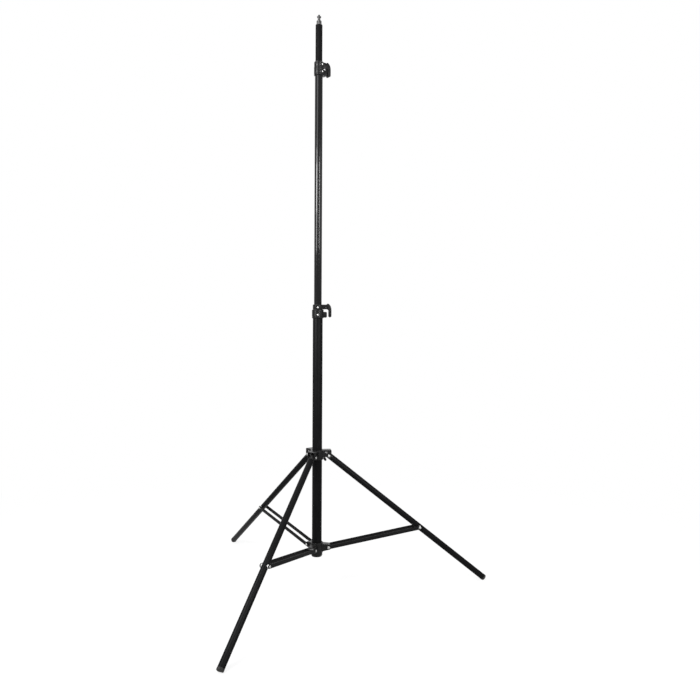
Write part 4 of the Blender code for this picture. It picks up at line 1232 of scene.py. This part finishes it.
@dataclass
class LeverLock:
    """A lever lock: its stepped collar, cam lever, pin and screws."""

    name: str
    body: str
    lever_body: str
    centre: float
    tube_radius: float
    tube_wall: float
    slide_radius: float
    screw_turn: float
    scale: float = 1.0
    heading: float = -5.0
    upper_wall: float = 0.0040
    lower_wall: float = 0.0030
    ledge: float = 0.0017
    ear_width: float = 0.0028
    ear_radius: float = 0.0076
    pin_radius: float = 0.0020
    pin_hole: float = 0.0023
    screw_hole: float = 0.0019
    screw_heights: Point = (0.0125, -0.0115)

    @property
    def place(self) -> Matrix:
        """The lock's place, with its lever on its own +X side."""
        return shift(z=self.centre) @ turn(self.heading, "Z")

    @property
    def pin(self) -> Point:
        """How far out and how high the lever's pin is."""
        return self.slide_radius + 0.0100 * self.scale, 0.0145 * self.scale

    @property
    def pin_place(self) -> Matrix:
        """The place of the lever's pin."""
        return self.place @ shift(self.pin[0], 0.0, self.pin[1])

    @property
    def root_half(self) -> float:
        """Half the width of the lever's root."""
        return 0.0060 * self.scale

    @property
    def upper_outside(self) -> float:
        """The outer radius of the collar's upper step, round the sliding tube."""
        return self.slide_radius + self.upper_wall

    @property
    def lower_outside(self) -> float:
        """The outer radius of the collar's lower step, round the fixed tube."""
        return self.tube_radius + self.lower_wall

    def sized(self, outline: Outline) -> Outline:
        """An outline at this lock's scale."""
        return [(x * self.scale, z * self.scale) for x, z in outline]

    def build(self) -> None:
        """Build the lock's pieces."""
        self.build_body()
        self.build_lever()
        self.build_screws()
        reach = self.root_half + GAP + self.ear_width
        pin = Shape.rod(self.pin_radius, -reach, reach, 32).soften(0.0003, 2)
        place = self.pin_place @ across()
        pin.piece(f"{self.name}_pin_skin", Skin.BLACK_STEEL, self.body, [f"{self.name}_pin"], place)

    def ring(self) -> Shape:
        """The stepped collar before anything is cut from it.

        Returns:
            The collar's solid.
        """
        upper, lower = self.upper_outside, self.lower_outside
        half, band, k = 0.02225 * self.scale, 0.0067 * self.scale, self.scale
        step, groove = 0.0010, lower - 0.0005
        upper_bore, lower_bore = self.slide_radius + GAP, self.tube_radius + GAP
        section = [(upper - 0.0012, half), (upper, half - 0.0016), (upper, band), (upper - step, band),
                   (upper - step, band - step), (lower - 0.0008, band - step), (lower, band - 0.0022),
                   (lower, -half + 0.0066 * k), (groove, -half + 0.0060 * k), (groove, -half + 0.0050 * k),
                   (lower, -half + 0.0044 * k), (lower, -half + 0.0014), (lower - 0.0012, -half),
                   (lower_bore, -half), (lower_bore, self.ledge), (upper_bore, self.ledge),
                   (upper_bore, half)]
        return Shape.lathe(section, 96, closed=True).soften(0.0005, 3, 40.0)

    def ear(self, sign: float) -> Shape:
        """One of the two ears that hold the lever's pin.

        Args:
            sign: The ear's side: -1 or 1 along the lock's own Y.

        Returns:
            The ear's solid.
        """
        pin_x, pin_z = self.pin
        middle = self.root_half + GAP + self.ear_width / 2
        root = math.sqrt((self.slide_radius + GAP + 0.0020) ** 2 - middle**2)
        radius = self.ear_radius * self.scale
        nose = arc((pin_x, pin_z), radius, -90.0, 90.0, 24)
        outline = [(root, pin_z - radius), *nose, (root, pin_z + radius)]
        return Shape.slab(outline, self.ear_width).soften(0.0006, 3, 60.0).place(shift(y=sign * middle))

    def lug(self) -> Shape:
        """The lug that the closed lever's tail stands off, with three shallow grooves.

        Returns:
            The lug's solid.
        """
        k = self.scale
        front, corner, half = self.pin[0] + 0.0070 * k, 0.0040 * k, 0.0080 * k
        low, high = -0.0200 * k, -0.0013 * k
        root = math.sqrt((self.tube_radius + GAP + 0.0015) ** 2 - half**2)
        outline = [(root, low), *arc((front - corner, corner + low), corner, -90.0, 0.0, 10),
                   *arc((front - corner, high - corner), corner, 0.0, 90.0, 10), (root, high)]
        lug = Shape.slab(outline, 2 * half).soften(0.0010, 3, 60.0)
        width, grooves = half * 0.68, []
        for row in range(3):
            z = (-0.0072 - 0.0033 * row) * k
            depth, height = (front - 0.0005, front + 0.01), (z - 0.0005, z + 0.0005)
            grooves.append(Shape.block(depth, (-width, width), height))
        return lug.minus(*grooves)

    def build_body(self) -> None:
        """The stepped collar with the lever's ears, the stop lug, the window and the holes."""
        pin_x, pin_z = self.pin
        half, sill = self.root_half + GAP, pin_z - 0.0060 * self.scale - GAP
        body = self.ring().plus(self.ear(-1.0), self.ear(1.0)).plus(self.lug())
        cuts = [Shape.rod(self.tube_radius + GAP, -0.05, self.ledge, 96),
                Shape.block((0.0, pin_x), (-half, half), (sill, 0.05)),
                cross_hole(self.pin_hole, shift(pin_x, 0.0, pin_z))]
        for height in self.screw_heights:
            hole = Shape.rod(self.screw_hole, 0.0, self.lower_outside * 2, 24)
            cuts.append(hole.place(shift(z=height * self.scale) @ outward(self.screw_turn)))
        body = body.minus(*cuts)
        body.piece(f"{self.name}_body_skin", Skin.PLASTIC, self.body, [f"{self.name}_body"], self.place)

    def build_lever(self) -> None:
        """The lever: a round root between the ears and a handle that bends down, with finger ribs."""
        k, outer, thick, rise, under, end = self.scale, 0.0217, 0.0102, 0.0110, -0.0090, -0.0335
        bend, droop, knuckle, fillet, width, rib = 0.0135, 1.6, 0.0070, 0.0022, 0.0140, 0.0064
        inner, top = outer - thick, rise - bend * droop
        shoulder = [(x, top + (z - top) * droop) for x, z in arc((outer - bend, top), bend, 90.0, 0.0, 24)]
        boss = arc((0.0, 0.0), knuckle, 270.0, 80.0, 28)
        root = [*boss, (0.0105, rise - 0.0010), (0.0105, under + 0.0010)]
        throat = arc((inner - fillet, under - fillet), fillet, 0.0, 90.0, 6)
        tail = arc(((inner + outer) / 2, thick / 2 + end), thick / 2, 0.0, -180.0, 20)
        handle = [(0.0080, rise), *shoulder, *tail, *throat, (0.0085, under)]
        lever = Shape.slab(self.sized(root), 2 * self.root_half).soften(0.0004, 2, 60.0)
        lever = lever.plus(Shape.slab(self.sized(handle), width * k).soften(0.0013, 4, 60.0))
        cuts = [cross_hole(self.pin_hole, shift())]
        for row in range(4):
            z = (-0.0100 - 0.0042 * row) * k
            groove = Shape.rod(0.0012, -rib * k, rib * k, 16)
            cuts.append(groove.place(shift(outer * k + 0.0006, 0.0, z) @ across()))
        lever = lever.minus(*cuts)
        name = f"{self.name}_lever"
        lever.piece(f"{name}_skin", Skin.LEVER, self.lever_body, [name], self.pin_place)

    def build_screws(self) -> None:
        """The two screws beside the lever, one above the other."""
        rows = (("upper", self.upper_outside, self.slide_radius + 0.0006),
                ("lower", self.lower_outside, self.tube_radius - self.tube_wall))
        for (label, surface, start), height in zip(rows, self.screw_heights):
            name, seat = f"{self.name}_screw_{label}", surface + GAP
            screw = pan_head(radius=0.0029, height=0.0018, shank=0.0016, length=seat - start)
            at = self.place @ shift(z=height * self.scale) @ outward(self.screw_turn) @ shift(z=seat)
            screw.piece(f"{name}_skin", Skin.ZINC, self.body, [name], at)


@dataclass
class HiddenPieces:
    """The bushes and shoes inside the column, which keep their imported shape."""

    nodes: tuple[str, ...] = ("mid_bush", "top_bush", "lower_lock_shoe", "upper_lock_shoe")

    def dress(self) -> None:
        """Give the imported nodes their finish."""
        for node in self.nodes:
            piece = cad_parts[node]
            own = piece.data.attributes.new(LOCAL, "FLOAT_VECTOR", "POINT")
            own.data.foreach_set("vector", [value for vertex in piece.data.vertices for value in vertex.co])
            piece.data.materials.clear()
            piece.data.materials.append(Skin.NYLON.value.material())
            LOG.info("%s: dressed", node)


# The studio


@dataclass(frozen=True)
class Lamp:
    """A rectangular soft lamp."""

    name: str
    place: Place
    power: float
    width: float
    height: float
    aim: Place = (0.0, 0.0, 0.7)


@dataclass
class Studio:
    """The floor, the lamps, the world and the camera."""

    floor_size: float = 60.0
    floor_drop: float = 0.0002
    shadow_reach: float = 0.9
    shadow_fill: float = 0.80
    ambient: float = 0.80
    room: float = 0.30
    backdrop: Point = (0.60, 0.90)
    lamps: tuple[Lamp, ...] = (
        Lamp("key", (-1.6, -1.6, 2.9), 14.0, 1.4, 1.4),
        Lamp("fill", (2.4, -1.4, 1.6), 8.0, 1.6, 1.6),
        Lamp("top", (0.0, 0.4, 3.4), 14.0, 1.8, 1.8),
        Lamp("left_strip", (-1.05, -0.76, 1.38), 14.0, 0.70, 0.90, (0.0, 0.0, 1.15)),
        Lamp("left_core", (-1.05, -0.76, 1.50), 8.0, 0.60, 0.42, (0.0, 0.0, 1.22)),
        Lamp("right_strip", (0.87, -1.80, 1.47), 17.0, 0.14, 1.10, (0.0, 0.0, 1.12)),
    )
    eye: Place = (-0.1968, -2.1219, 0.764)
    yaw: float = 8.127
    pitch: float = -2.326
    roll: float = 0.367
    focal: float = 655.88

    def build(self) -> None:
        """Build the whole studio."""
        self.build_floor()
        self.build_world()
        self.build_lamps()
        self.build_camera()
        bpy.context.scene.view_settings.view_transform = "Standard"

    def build_floor(self) -> None:
        """A pale floor that keeps the stand's shadow and turns to plain white further out."""
        bm = bmesh.new()
        bmesh.ops.create_grid(bm, x_segments=1, y_segments=1, size=self.floor_size / 2)
        mesh = bpy.data.meshes.new("floor")
        bm.to_mesh(mesh)
        bm.free()
        mesh.transform(shift(z=FLOOR - self.floor_drop))
        graph = Graph("studio_floor")
        camera = graph.add("ShaderNodeLightPath", output="Is Camera Ray")
        glossy = graph.add("ShaderNodeLightPath", output="Is Glossy Ray")
        place = graph.add("ShaderNodeTexCoord", output="Object")
        grain = graph.noise(place, 9.0, 2.0)
        paper = graph.blend(grain, (0.78, 0.78, 0.78), (0.80, 0.80, 0.80))
        graph.plug(graph.shader.inputs["Base Color"], graph.blend(camera, paper, (0.93, 0.93, 0.93)))
        graph.shader.inputs["Roughness"].default_value = 0.9
        graph.shader.inputs["Specular IOR Level"].default_value = 0.1
        distance = graph.add("ShaderNodeVectorMath", {"operation": "LENGTH"}, {0: place}, "Value")
        plain = distance.between(self.shadow_reach, self.shadow_reach * 2.2).toward(self.shadow_fill, 1.0)
        ahead = graph.axis(graph.add("ShaderNodeVectorMath", {"operation": "NORMALIZE"}, {0: place}), "Y")
        cove = ahead.between(*self.backdrop).toward(self.room, 1.0)
        glow = {"Color": (1.0, 1.0, 1.0, 1.0), "Strength": camera + glossy * cove}
        white = graph.add("ShaderNodeEmission", {}, glow, "Emission")
        painted = Wire(graph, graph.shader.outputs[0])
        surface = graph.add("ShaderNodeMixShader", {}, {0: plain * camera + glossy, 1: painted, 2: white})
        graph.plug(graph.tree.nodes["Material Output"].inputs["Surface"], surface)
        mesh.materials.append(graph.material)
        floor = bpy.data.objects.new("floor", mesh)
        bpy.context.collection.objects.link(floor)

    def build_world(self) -> None:
        """A white cove behind the stand; the room behind the camera is dim, as its reflections show."""
        world = bpy.data.worlds.new("studio")
        world.use_nodes = True
        bpy.context.scene.world = world
        graph = Graph.over(world.node_tree)
        sky = world.node_tree.nodes["Background"]
        direct = graph.add("ShaderNodeLightPath", output="Is Camera Ray")
        through = graph.add("ShaderNodeLightPath", output="Is Transmission Ray")
        glossy = graph.add("ShaderNodeLightPath", output="Is Glossy Ray")
        heading = graph.axis(graph.add("ShaderNodeTexCoord", output="Generated"), "Y")
        cove = heading.between(*self.backdrop).toward(self.room, 1.0)
        strength = direct + through + glossy * cove + (1.0 - direct - through - glossy) * self.ambient
        graph.plug(sky.inputs["Strength"], strength)
        sky.inputs["Color"].default_value = (1.0, 1.0, 1.0, 1.0)

    def build_lamps(self) -> None:
        """The soft lamps; the three strips give the middle tube its two long highlights."""
        for lamp in self.lamps:
            light = bpy.data.lights.new(lamp.name, "AREA")
            light.shape = "RECTANGLE"
            light.energy = lamp.power
            light.size, light.size_y = lamp.width, lamp.height
            holder = bpy.data.objects.new(lamp.name, light)
            holder.location = lamp.place
            toward = Vector(lamp.aim) - Vector(lamp.place)
            holder.rotation_euler = toward.to_track_quat("-Z", "Y").to_euler()
            bpy.context.collection.objects.link(holder)

    def build_camera(self) -> None:
        """The camera at the photograph's place, with its slight roll."""
        yaw, pitch, roll = (math.radians(value) for value in (self.yaw, self.pitch, self.roll))
        ahead = Vector((math.sin(yaw) * math.cos(pitch), math.cos(yaw) * math.cos(pitch), math.sin(pitch)))
        right = Vector((math.cos(yaw), -math.sin(yaw), 0.0))
        up = right.cross(ahead)
        level_right = math.cos(roll) * right + math.sin(roll) * up
        level_up = math.cos(roll) * up - math.sin(roll) * right
        lens = bpy.data.cameras.new("camera")
        lens.sensor_width = SENSOR
        lens.lens = self.focal * SENSOR / FRAME
        camera = bpy.data.objects.new("camera", lens)
        axes = Matrix((level_right, level_up, -ahead)).transposed().to_4x4()
        camera.matrix_world = Matrix.Translation(self.eye) @ axes
        bpy.context.collection.objects.link(camera)
        bpy.context.scene.camera = camera


def main() -> None:
    """Build the stand's looks and the studio, in order."""
    logging.basicConfig(level=logging.INFO, format="%(message)s")
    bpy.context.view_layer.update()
    Column().build()
    LowerCollar().build()
    UpperCollar().build()
    for leg in Leg:
        LegSet(leg).build()
        BracePair(leg).build()
    lower = LeverLock("lower_lock", "column", "lower_lever", TUBE_TOP - LOCK_DROP, LOWER_RADIUS, LOWER_WALL,
                      MID_RADIUS, screw_turn=-90.0)
    upper = LeverLock("upper_lock", "mid_section", "upper_lever", MID_TOP - LOCK_DROP, MID_RADIUS, MID_WALL,
                      TOP_RADIUS, screw_turn=-75.0, scale=0.96, heading=28.0)
    lower.build()
    upper.build()
    HiddenPieces().dress()
    Studio().build()


if __name__ == "__main__":
    main()
